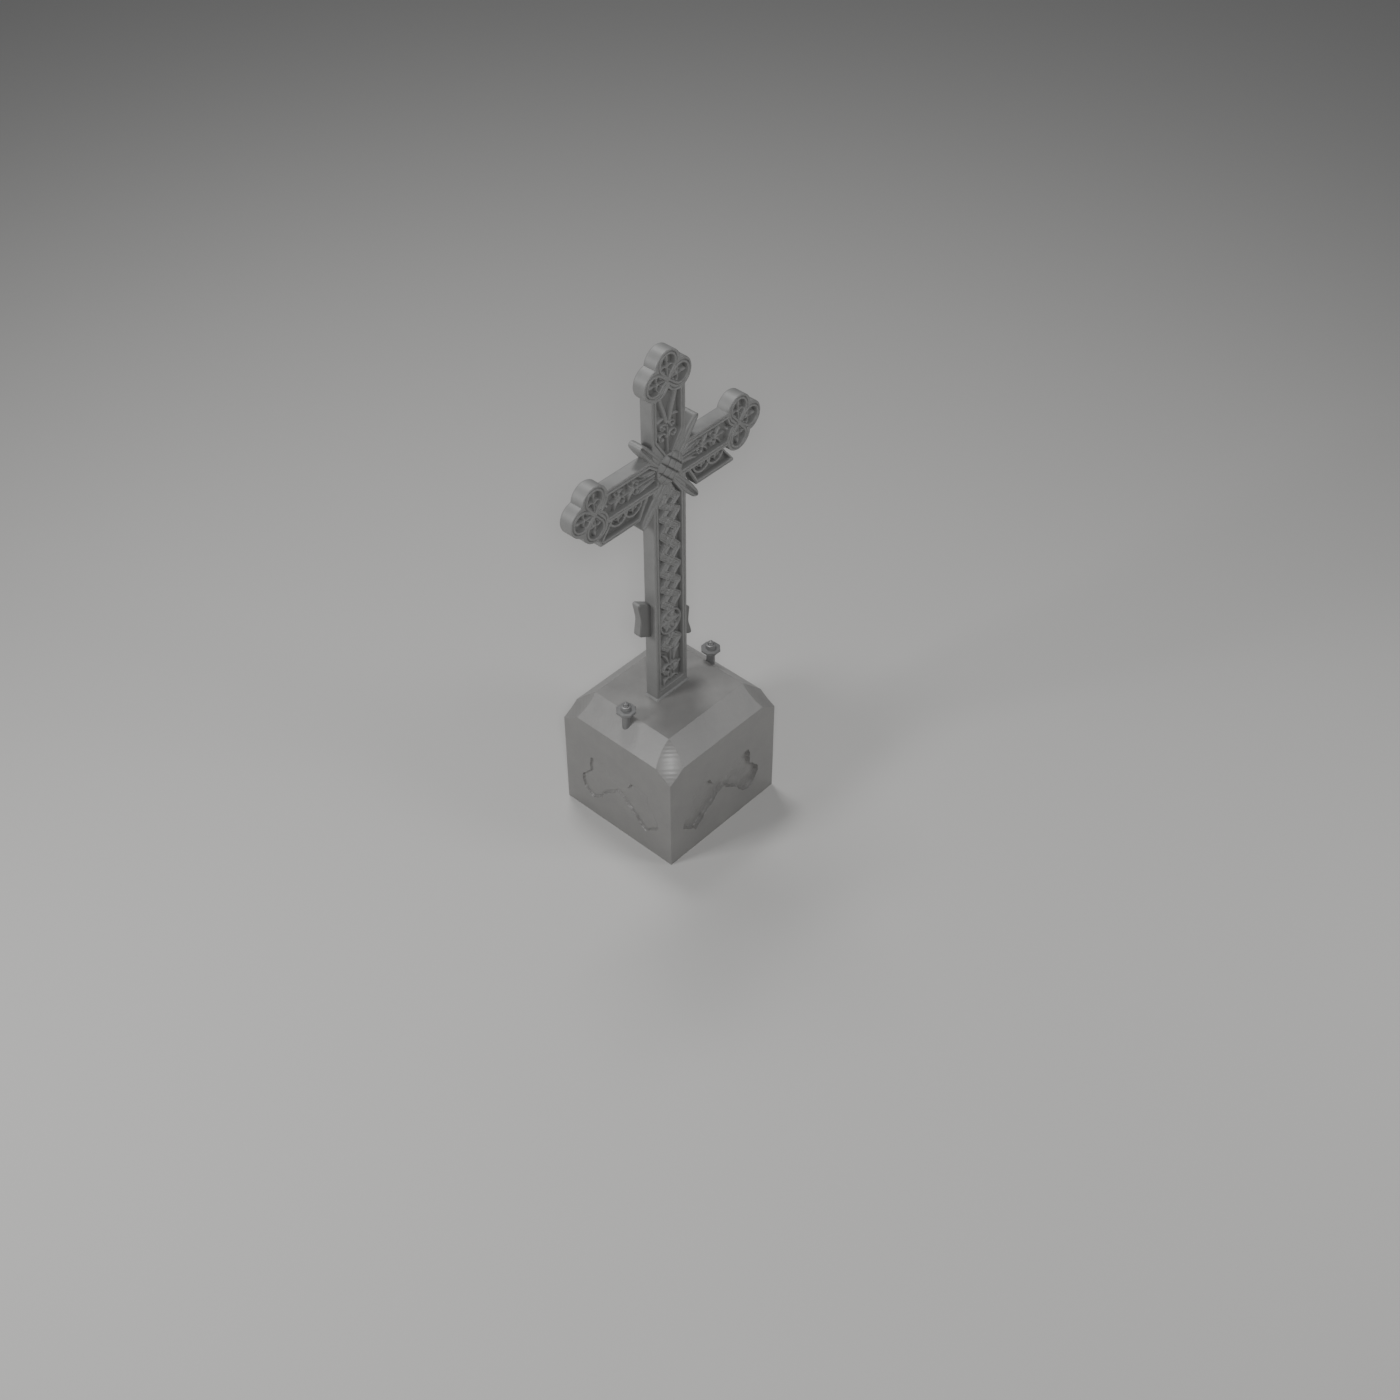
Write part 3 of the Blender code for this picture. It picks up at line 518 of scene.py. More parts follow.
@dataclass
class Plate:
    """A closed flat body whose two faces are modelled by depth.

    `front` and `back` give the depth of each point, `inner_front` and `inner_back` are the points
    inside the outline, and `tone` gives how much painted shade the front gets, which is its depth where it
    is None.
    """

    name: str
    outline: Line
    front: Callable[[Line], Line]
    back: Callable[[Line], Line]
    inner_front: Line
    inner_back: Line
    to_world: Callable[[Line, Line], Line]
    spacing: float = 2.2 * MM
    tone: Callable[[Line], Line] | None = None
    collar: float = 0.04

    def _sheet(self, loop: Line, inner: Line) -> tuple[Line, list[list[int]], list[int]]:
        """Joins a loop and the points inside it into triangles.

        Args:
            loop: the closed outline.
            inner: points inside it.

        Returns:
            The points in millimetres, the triangles, and where each point of the loop is among them.
        """
        everything = np.vstack([loop, inner]) / MM if len(inner) else loop / MM
        count = len(loop)
        edges = [(i, (i + 1) % count) for i in range(count)]
        made = delaunay_2d_cdt([Vector(p) for p in everything], edges, [], 0, 1e-4, True)
        where = {source: index for index, sources in enumerate(made[3]) for source in sources}
        points = np.array([tuple(p) for p in made[0]])
        triangles = np.array([list(face) for face in made[2]])
        kept = triangles[Border(self.outline / MM).distance(points[triangles].mean(1)) > 0]
        return points, kept.tolist(), [where[i] for i in range(count)]

    def build(self) -> bpy.types.Object:
        """Makes the body as one closed mesh.

        Returns:
            The new object.
        """
        loop = Border(anticlockwise(self.outline)).sampled(self.spacing)
        front, front_faces, front_loop = self._sheet(loop, self.inner_front)
        back, back_faces, back_loop = self._sheet(loop, self.inner_back)
        front, back = front * MM, back * MM
        near, far = self.front(front), self.back(back)
        shift, count = len(front), len(loop)
        wall = front[front_loop]
        fall = far[back_loop] - near[front_loop]
        shares = (self.collar, 1 - self.collar)
        collars = [self.to_world(wall, near[front_loop] + fall * share) for share in shares]
        vertices = np.vstack([self.to_world(front, near), self.to_world(back, far), *collars])
        faces = front_faces + [[i + shift for i in face[::-1]] for face in back_faces]
        start = shift + len(back)
        rows = [
            front_loop, [start + i for i in range(count)], [start + count + i for i in range(count)],
            [i + shift for i in back_loop],
        ]
        for upper, lower in zip(rows, rows[1:]):
            for i in range(count):
                j = (i + 1) % count
                faces.append([upper[j], upper[i], lower[i], lower[j]])
        mesh = bpy.data.meshes.new(self.name)
        mesh.from_pydata([tuple(v) for v in vertices], [], faces)
        sunk = mesh.attributes.new("sunk", "FLOAT", "POINT")
        # Painted shade: the front's colour is drawn darker the deeper it lies, unless `tone` gives its
        # painted shade
        tone = near if self.tone is None else self.tone(front)
        values = np.concatenate([tone, np.zeros(len(back) + 2 * count)])
        sunk.data.foreach_set("value", values.astype(np.float32))
        return in_scene(mesh)


def in_scene(mesh: bpy.types.Mesh, sharp: float = 50.0) -> bpy.types.Object:
    """Turns a mesh into an object with its faces outwards and its soft edges smooth.

    Args:
        mesh: the mesh.
        sharp: the least angle between faces that stays sharp, in degrees.

    Returns:
        The object, linked to the scene.
    """
    same_place = 0.001 * MM
    form = bmesh.new()
    form.from_mesh(mesh)
    bmesh.ops.remove_doubles(form, verts=form.verts, dist=same_place)
    bmesh.ops.recalc_face_normals(form, faces=form.faces)
    form.to_mesh(mesh)
    form.free()
    mesh.shade_smooth()
    mesh.set_sharp_from_angle(angle=math.radians(sharp))
    made = bpy.data.objects.new(mesh.name, mesh)
    bpy.context.scene.collection.objects.link(made)
    return made


def applied(piece: bpy.types.Object, name: str, kind: str, settings: dict) -> None:
    """Adds a modifier to a piece and applies it at once.

    Args:
        piece: the piece.
        name: the modifier's name.
        kind: the modifier's type.
        settings: its values by name.
    """
    step = piece.modifiers.new(name, kind)
    for key, value in settings.items():
        setattr(step, key, value)
    with bpy.context.temp_override(object=piece, active_object=piece):
        bpy.ops.object.modifier_apply(modifier=step.name)


def lofted(name: str, rings: list[Line], sharp: float = 50.0) -> bpy.types.Object:
    """Closes a stack of equal rings into one body with a cap at each end.

    Args:
        name: the object's name.
        rings: the rings, each one row a point.
        sharp: the least angle that stays sharp, in degrees.

    Returns:
        The object.
    """
    count = len(rings[0])
    faces = [list(range(count)), [len(rings) * count - 1 - i for i in range(count)]]
    for level in range(len(rings) - 1):
        for i in range(count):
            j = (i + 1) % count
            near, far = level * count, (level + 1) * count
            faces.append([near + j, near + i, far + i, far + j])
    mesh = bpy.data.meshes.new(name)
    mesh.from_pydata([tuple(p) for ring in rings for p in ring], [], faces)
    return in_scene(mesh, sharp)


def lathed(name: str, profile: list[tuple[float, float]], centre: tuple[float, float],
           sides: int = 48, turn: float = 0.0, sharp: float = 35.0) -> bpy.types.Object:
    """A round or many-sided body from radius and height pairs, from the bottom up.

    Args:
        name: the object's name.
        profile: the pairs.
        centre: where its axis stands.
        sides: how many sides it has.
        turn: the angle of its first corner, in radians.
        sharp: the least angle that stays sharp, in degrees.

    Returns:
        The object.
    """
    angles = turn + math.tau * np.arange(sides) / sides
    rings = [
        np.column_stack([centre[0] + r * np.cos(angles), centre[1] + r * np.sin(angles), np.full(sides, z)])
        for r, z in profile
    ]
    return lofted(name, rings, sharp)


def grid(low: Line, high: Line, spacing: float) -> Line:
    """Points in staggered rows between two corners.

    Args:
        low: the lower corner.
        high: the upper corner.
        spacing: the distance between points.

    Returns:
        The points.
    """
    row_share = 0.87
    rows = np.arange(low[1], high[1], spacing * row_share)
    made = []
    for i, row in enumerate(rows):
        line = np.arange(low[0] + (i % 2) * spacing / 2, high[0], spacing)
        made.append(np.column_stack([line, np.full(len(line), row)]))
    return np.vstack(made)


def apart(points: Line, gap: float) -> Line:
    """The points less those that are too near an earlier one.

    Args:
        points: the points.
        gap: the size of the cells that hold one point each.

    Returns:
        The points that stay, in their order.
    """
    cells = np.round(points / gap).astype(int)
    _, first = np.unique(cells, axis=0, return_index=True)
    return points[np.sort(first)]


def eased(value: Line) -> Line:
    """A smooth step from nothing to one.

    Args:
        value: the place on the step, cut to nothing and one.

    Returns:
        The height of the step there.
    """
    share = np.clip(value, 0, 1)
    return share * share * (3 - 2 * share)


def uneven(points: Line, size: float, seed: float) -> Line:
    """Smooth noise over a face.

    Args:
        points: the points on the face.
        size: how wide its bumps are.
        seed: which noise it is.

    Returns:
        The height at each point, from about minus one to one.
    """
    return np.array([noise.noise(Vector((x / size, y / size, seed))) for x, y in points])


def rounded_edge(inside: Line, radius: float) -> Line:
    """How deep a quarter-round edge falls.

    Args:
        inside: how far inside the outline each point is.
        radius: the round's radius.

    Returns:
        The fall at each point.
    """
    short = np.clip(radius - inside, 0, radius)
    return radius - np.sqrt(radius**2 - short**2)


def add_node(tree: bpy.types.NodeTree, kind: str, settings: dict | None = None, links: dict | None = None,
             ) -> bpy.types.Node:
    """Adds a node with its settings and links.

    Args:
        tree: the material's node tree.
        kind: the node's type.
        settings: values by the name of an input or of a property.
        links: sockets that feed the node's inputs, by name or number.

    Returns:
        The node.
    """
    made = tree.nodes.new(kind)
    for name, value in (settings or {}).items():
        if isinstance(name, str) and hasattr(made, name):
            setattr(made, name, value)
        else:
            made.inputs[name].default_value = value
    for name, socket in (links or {}).items():
        tree.links.new(socket, made.inputs[name])
    return made


@dataclass(frozen=True)
class Finish:
    """What every finish has: its name, its colours and how it takes light.

    `sunk_shade` is how much of the shadow colour lies over what is sunk by `sunk_to` or more.
    """

    name: str
    pale: str
    dark: str
    roughness: float
    metallic: float
    cloud_mm: float
    grain_mm: float
    grain_depth: float
    pit_mm: float
    pit_depth: float
    sunk_shade: float
    sunk_from: float = 0.006
    sunk_to: float = 0.013
    shadow: str = "6C6B69"

    def build(self) -> bpy.types.Material:
        """Makes the material.

        Returns:
            A material whose colour, roughness and relief come from nodes.
        """
        made = bpy.data.materials.new(self.name)
        made.use_nodes = True
        tree = made.node_tree
        shader = tree.nodes["Principled BSDF"]
        shader.inputs["Metallic"].default_value = self.metallic
        where = add_node(tree, "ShaderNodeTexCoord").outputs["Object"]
        clouds = add_node(tree, "ShaderNodeTexNoise", {
            "Scale": 1000 / self.cloud_mm, "Detail": 6.0, "Roughness": 0.62,
        }, {"Vector": where})
        grains = add_node(tree, "ShaderNodeTexNoise", {
            "Scale": 1000 / self.grain_mm, "Detail": 3.0, "Roughness": 0.7,
        }, {"Vector": where})
        pits = add_node(tree, "ShaderNodeTexVoronoi", {"Scale": 1000 / self.pit_mm}, {"Vector": where})
        mixed = add_node(tree, "ShaderNodeMath", {"operation": "MULTIPLY_ADD", 1: 0.35}, {
            0: grains.outputs["Fac"], 2: clouds.outputs["Fac"],
        })
        spread = add_node(tree, "ShaderNodeMapRange", {"From Min": 0.35, "From Max": 1.05}, {
            "Value": mixed.outputs[0],
        })
        base = add_node(tree, "ShaderNodeMix", {
            "data_type": "RGBA", 6: linear(self.dark), 7: linear(self.pale),
        }, {0: spread.outputs[0]})
        # Painted shade: the shadow colour is multiplied into the base colour as far as the sunk layer asks
        sunk = add_node(tree, "ShaderNodeAttribute", {"attribute_name": "sunk"})
        shade = add_node(tree, "ShaderNodeMapRange", {
            "From Min": self.sunk_from, "From Max": self.sunk_to, "To Min": 0.0, "To Max": self.sunk_shade,
        }, {"Value": sunk.outputs["Fac"]})
        toned = add_node(tree, "ShaderNodeMix", {
            "data_type": "RGBA", "blend_type": "MULTIPLY", 7: linear(self.shadow),
        }, {0: shade.outputs[0], 6: base.outputs[2]})
        tree.links.new(toned.outputs[2], shader.inputs["Base Color"])
        rough = add_node(tree, "ShaderNodeMapRange", {
            "To Min": self.roughness - 0.08, "To Max": self.roughness + 0.10,
        }, {"Value": clouds.outputs["Fac"]})
        tree.links.new(rough.outputs[0], shader.inputs["Roughness"])
        pocks = add_node(tree, "ShaderNodeMapRange", {"From Min": 0.0, "From Max": 0.35}, {
            "Value": pits.outputs["Distance"],
        })
        low = add_node(tree, "ShaderNodeBump", {"Distance": self.pit_depth, "Strength": 0.5}, {
            "Height": pocks.outputs[0],
        })
        high = add_node(tree, "ShaderNodeBump", {"Distance": self.grain_depth, "Strength": 0.6}, {
            "Height": grains.outputs["Fac"], "Normal": low.outputs[0],
        })
        tree.links.new(high.outputs[0], shader.inputs["Normal"])
        return made


# Dressed hard stone, rubbed smooth after the chisel: even grey with faint clouds and a dull shine.
# Its real grit of about 1 mm is drawn at 4 mm, so that it shows.
# The stone's sunk_shade is the strength of the painted shade along the flakes' edges.
STONE = Finish(
    name="rubbed_grey_stone", pale="8F8E8C", dark="828180", roughness=0.31, metallic=0.0, cloud_mm=60.0,
    grain_mm=4.0, grain_depth=0.0003, pit_mm=16.0, pit_depth=0.0002, sunk_shade=0.60,
)
# Grey iron cast in sand and weathered: a dull oxide skin over the metal, soft broad gloss, fine grain.
# The sand's grain of about 0.5 mm is drawn at 3 mm, so that it shows.
# The iron's sunk_shade is the strength of the painted shade in its recesses and grooves.
IRON = Finish(
    name="weathered_cast_iron", pale="8E8E8D", dark="7F7F7E", roughness=0.50, metallic=0.10, cloud_mm=45.0,
    grain_mm=3.0, grain_depth=0.00012, pit_mm=12.0, pit_depth=0.00015, sunk_shade=0.40,
)
# Forged steel, black from the fire and rubbed: darker and a little glossier than the casting.
STEEL = Finish(
    name="forged_mild_steel", pale="8B8B8B", dark="7A7A7A", roughness=0.36, metallic=0.30, cloud_mm=25.0,
    grain_mm=2.5, grain_depth=0.0002, pit_mm=9.0, pit_depth=0.0002, sunk_shade=0.40,
)


def dressed(piece: bpy.types.Object, finish: bpy.types.Material) -> bpy.types.Object:
    """Gives a piece its finish and its body.

    Args:
        piece: the piece.
        finish: its material.

    Returns:
        The same piece.
    """
    piece.data.materials.clear()
    piece.data.materials.append(finish)
    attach(piece, BODY)
    log.info("%s: %d faces", piece.name, len(piece.data.polygons))
    return piece


def on_cross(points: Line, depth: Line) -> Line:
    """Points and depths of the cross as places in the world."""
    return np.column_stack([points[:, 0], FRONT_Y + depth, FOOT_Z + points[:, 1]])


def budded_end(half_width: float) -> Line:
    """The outline round three lobes, from one side of the arm to the other.

    Args:
        half_width: half the width of the arm that carries them.

    Returns:
        The local points.
    """
    root = -math.sqrt(LOBE_RADIUS**2 - (half_width - LOBE_OFFSET) ** 2)
    notch = (LOBE_OFFSET + math.sqrt(2 * LOBE_RADIUS**2 - LOBE_OFFSET**2)) / 2
    side, tip = (0.0, -LOBE_OFFSET), (LOBE_OFFSET, 0.0)
    start = bearing(side, (root, -half_width)) % 360 - 360
    first = arc(side, LOBE_RADIUS, start, bearing(side, (notch, -notch)))
    half_tip = bearing(tip, (notch, notch))
    middle = arc(tip, LOBE_RADIUS, -half_tip, half_tip)
    return np.vstack([first, middle[1:-1], flipped(first)[::-1]])


def cross_outline() -> Line:
    """The cross seen from the front, up its right side and down its left.

    Returns:
        The points of the outline.
    """
    right, left = (placed(budded_end(ARM_HALF), *end) for end in (ENDS[0], ENDS[2]))
    top = placed(budded_end(SHAFT_HALF), *ENDS[1])
    low, high = CROSSING - ARM_HALF, CROSSING + ARM_HALF
    return np.vstack([
        [(SHAFT_HALF, 0.0), (SHAFT_HALF, low)], right, [(SHAFT_HALF, high)], top,
        [(-SHAFT_HALF, high)], left, [(-SHAFT_HALF, low), (-SHAFT_HALF, 0.0)],
    ])


def lobed_end(half_width: float) -> Line:
    """The end of a recess, bounded by the round backs of the two side lobes.

    Args:
        half_width: half the width of the recess.

    Returns:
        The local points.
    """
    side = (0.0, -LOBE_OFFSET)
    edge = (-math.sqrt(LOBE_RADIUS**2 - (half_width - LOBE_OFFSET) ** 2), -half_width)
    middle = (-math.sqrt(LOBE_RADIUS**2 - LOBE_OFFSET**2), 0.0)
    first = arc(side, LOBE_RADIUS, bearing(side, edge) % 360, bearing(side, middle))
    return np.vstack([first, flipped(first)[-2::-1]])


@dataclass
class Carving:
    """The ornament of every recess, as strokes.

    `spot` is where the local points of the next strokes begin, and the way outwards there. The rows
    are the heights at which the strands are furthest out, and the spans are what shows of them.
    """

    spot: tuple = ((0.0, 0.0), (0.0, 1.0))
    stem_half: float = 5.2 * MM
    curl_half: float = 4.7 * MM
    high: float = 2.2 * MM
    low: float = 3.4 * MM
    plait_rows: tuple = (0.2620, 0.3180, 0.3673, 0.4207, 0.4772, 0.5430, 0.5967, 0.6375, 0.6900)
    low_rows: tuple = (0.1170, 0.1720, 0.2270)
    plait_span: tuple = (0.284, 0.668)
    low_span: tuple = (0.143, 0.200)
    plait_swing: float = 0.0285
    band_half: float = 12.4 * MM
    plait_reach: float = 0.0400
    medallion: float = 0.242
    medallion_radius: float = 0.0370
    strokes: list[Stroke | Plait] = field(default_factory=list)

    def stroke(self, local: Line, half: float, tip: float, crest: float,
               section: Section = Section.ROUND, belly: float = 0.0) -> None:
        """Adds one stroke.

        Args:
            local: the local points of its middle.
            half: half its width at the root.
            tip: half its width at the tip.
            crest: how deep its crest lies behind the front.
            section: what it looks like cut across.
            belly: how much wider each half is at its middle.
        """
        self.strokes.append(Stroke(placed(local, *self.spot), half, tip, crest, section, belly))

    def curl(self, start: tuple[float, float], heading: float, radius: float,
             sweep: float, half: float = 0.0) -> None:
        """Adds a tendril that ends in a round eye.

        Args:
            start: where it leaves.
            heading: its first direction, in degrees.
            radius: the radius of its first turn.
            sweep: how far it turns in all, in degrees.
            half: half its width, the usual one where it is nothing.
        """
        half = half or self.curl_half
        line = tendril(start, heading, radius, sweep)
        self.stroke(line, half, half * 0.62, self.low)
        self.stroke(line[-2:], half * 0.95, half * 0.95, self.high)

    def leaf(self, root: tuple[float, float], tip: tuple[float, float], width: float,
             bend: float = 0.0, crest: float = 0.0) -> None:
        """Adds a pointed leaf with a vein.

        Args:
            root: its first point.
            tip: its last point.
            width: how wide it is.
            bend: how far it bows to its left, as a share of its length.
            crest: how deep its crest lies, the usual depth where it is nothing.
        """
        line = bow(root, tip, bend)
        self.stroke(line, width * 0.12, 0.4 * MM, crest or self.low, Section.VEINED, width * 0.42)

    def bead(self, at: tuple[float, float], radius: float, crest: float) -> None:
        """Adds a round bead.

        Args:
            at: where its middle is.
            radius: its radius.
            crest: how deep its top lies behind the front.
        """
        line = np.array([at, (at[0] + 0.2 * MM, at[1])])
        self.stroke(line, radius, radius, crest)

    def stem(self, start: float, end: float, root: float, tip: float, crest: float) -> None:
        """Adds a straight stem along the middle of an arm.

        Args:
            start: how far out it begins.
            end: how far out it ends.
            root: half its width at its start.
            tip: half its width at its end.
            crest: how deep its crest lies behind the front.
        """
        self.stroke(np.array([(start, 0.0), (end, 0.0)]), root, tip, crest)

    def shaft(self) -> None:
        """From the sill up: foliage, a lozenge, a round medallion, a plait and a spray."""
        self.spot = ((0.0, 0.0), (0.0, 1.0))
        half = SHAFT_HALF - RIM
        top = CROSSING - BOSS_RADIUS
        crest = self.high - 1.0 * MM
        for rows, (low, high) in ((self.plait_rows, self.plait_span), (self.low_rows, self.low_span)):
            plait = Plait(rows, low, high, self.plait_swing, self.band_half, self.plait_reach, crest)
            self.strokes.append(plait)
        for side in (1, -1):
            # Two curls in the foot's foliage, then two leaves over them and two under the boss
            for rise, heading, share, sweep in ((0.044, 62, 0.42, 300), (0.092, 66, 0.46, 320)):
                self.curl((rise, side * 0.003), side * heading, half * share, side * sweep)
            for root, off, tip, share, width, bend in (
                (0.052, 0.010, 0.085, 0.92, 0.015, -0.15), (0.100, 0.010, 0.142, 0.86, 0.014, -0.12),
                (top + 0.004, 0.004, top - 0.046, 0.72, 0.018, 0.10),
                (top - 0.016, 0.003, top - 0.056, 0.34, 0.014, 0.10),
            ):
                self.leaf((root, side * off), (tip, side * half * share), width, bend * side)
        self.stem(0.038, 0.146, 4.2 * MM, 3.4 * MM, self.low)
        self.stem(top + 0.004, top - 0.050, 4.5 * MM, 2.8 * MM, self.high)
        ring = arc((self.medallion, 0.0), self.medallion_radius, 0, 360)
        self.stroke(ring, self.stem_half, self.stem_half, self.high - 0.4 * MM)
        petals = 6
        turn = 360 // petals
        for i in range(petals):
            spoke = np.array([(0.004, 0.0), (self.medallion_radius * 0.90, 0.0)])
            root, tip = (tuple(p + (self.medallion, 0.0)) for p in turned_by(spoke, turn * i + turn // 2))
            self.leaf(root, tip, 0.021, 0.0, self.low)
            knob = turned_by(np.array([(self.medallion_radius * 0.62, 0.0)]), turn * i)[0]
            self.bead((knob[0] + self.medallion, knob[1]), 4.6 * MM, self.high)
        self.bead((self.medallion, 0.0), 7.5 * MM, self.high - 0.8 * MM)

    def upper_arm(self) -> None:
        """Two stems that part towards the trefoil, over curls and a pair of rolled leaves."""
        self.spot = ((0.0, CROSSING), (0.0, 1.0))
        end = TOP_CENTRE - CROSSING - LOBE_RADIUS
        half = SHAFT_HALF - RIM
        for side in (1, -1):
            stem = np.array([
                (end * 0.64, side * 0.005), (end * 0.72, side * 0.009), (end * 0.80, side * 0.014),
                (end * 0.88, side * half * 0.48), (end * 0.95, side * half * 0.60),
                (end + 0.012, side * half * 0.70),
            ])
            self.stroke(stem, self.stem_half * 1.5, self.stem_half * 1.7, self.high - 1.0 * MM)
            self.curl((end * 0.59, side * 0.006), side * 30, half * 0.26, side * 300, 4.4 * MM)
            self.curl((end * 0.43, side * 0.005), 0.0, 0.0145, side * 330, 4.8 * MM)
            tip = (end * 0.66, side * half * 0.95)
            self.leaf((end * 0.70, side * 0.012), tip, 0.013, -0.12 * side)
            self.bead((end * 0.56, side * half * 0.30), 6.5 * MM, 0.6 * MM)
        self.bead((end * 0.635, 0.0), 6.0 * MM, 0.8 * MM)
        self.stem(end * 0.20, end * 0.58, 4.0 * MM, 3.4 * MM, self.low)

    def side_arm(self, facing: float) -> None:
        """A stem from the boss with two sprays and a berry before the trefoil.

        Args:
            facing: one for the arm on the right, minus one for the left.
        """
        self.spot = ((0.0, CROSSING), (facing, 0.0))
        end = ARM_REACH - LOBE_RADIUS
        half = ARM_HALF - RIM
        sprays = (0.575, 0.80)
        self.stem(BOSS_RADIUS, end * 0.95, 4.0 * MM, 3.2 * MM, self.high)
        for side in (1, -1):
            near = np.array([
                (BOSS_RADIUS, side * 0.0085), (end * 0.42, side * 0.0095), (end * 0.52, side * 0.016),
            ])
            self.stroke(near, 3.2 * MM, 2.6 * MM, self.low)
            root, tip = (BOSS_RADIUS * 0.98, side * half * 0.42), (end * 0.50, side * half * 0.80)
            self.leaf(root, tip, half * 0.46, -0.06 * side)
            for share in sprays:
                self.curl((share * end, side * 0.002), side * 58, half * 0.40, side * 290, 3.4 * MM)
                tip = (share * end + 0.020, side * half * 0.92)
                self.leaf((share * end - 0.004, side * 0.004), tip, 0.011, -0.18 * side)
        for share in sprays:
            self.leaf((share * end - 0.006, 0.0), (share * end + 0.020, 0.0), 0.013, 0.0, self.high)
        self.bead((end + 0.003, 0.0), 6.5 * MM, self.high)

    def lobe(self, origin: tuple, direction: tuple, degrees: float, offset: float) -> None:
        """A stalk in one pocket that ends in two curls and a bud.

        Args:
            origin: the middle of the trefoil.
            direction: the way outwards along its arm.
            degrees: how far the pocket is turned from that way.
            offset: how far out the middle of the pocket's round part is.
        """
        self.spot = (origin, tuple(turned_by(np.array([direction]), degrees)[0]))
        self.stem(0.009, offset + 0.002, 3.8 * MM, 3.2 * MM, self.high)
        for side in (1, -1):
            self.curl((offset - 0.012, side * 0.002), side * 38, 0.0125, side * 290, 4.0 * MM)
        self.leaf((offset + 0.004, 0.0), (offset + 0.021, 0.0), 0.014)

    def cross(self, pocket_offset: float) -> list[Stroke | Plait]:
        """Carves the cross's own recesses.

        Args:
            pocket_offset: how far out the middle of each pocket's round part is.

        Returns:
            All the strokes.
        """
        self.shaft()
        self.upper_arm()
        for facing in (1.0, -1.0):
            self.side_arm(facing)
        for origin, direction in ENDS:
            for degrees in (-90, 0, 90):
                self.lobe(origin, direction, degrees, pocket_offset)
        return self.strokes

    def panel(self, facing: float, drop: float, inner: float, outer: float) -> list[Stroke | Plait]:
        """Two festoons with a curl in each, hanging from an arm's lower edge.

        Args:
            facing: one for the panel on the right, minus one for the left.
            drop: how far the panel hangs down.
            inner: how far out from the shaft's middle its floor begins.
            outer: how far out it ends.

        Returns:
            All the strokes.
        """
        self.spot = ((0.0, CROSSING - ARM_HALF), (facing, 0.0))
        radius = (drop - 0.012) * 0.62
        for share in (0.22, 0.74):
            middle = inner + (outer - inner) * share
            festoon = arc((middle, 0.0), radius, 180, 360)
            self.stroke(festoon * (1.0, facing), 4.2 * MM, 4.2 * MM, 6.0 * MM, Section.CORDED)
            for side in (1, -1):
                root = (middle - side * radius * 0.5, 0.0)
                roll = tendril(root, -90 - side * 12, radius * 0.42, side * 280)
                self.stroke(roll * (1.0, facing), 3.3 * MM, 2.2 * MM, 7.4 * MM)
            self.leaf((middle, 0.0), (middle, -facing * radius * 0.86), 0.011, 0.0, 7.2 * MM)
        return self.strokes


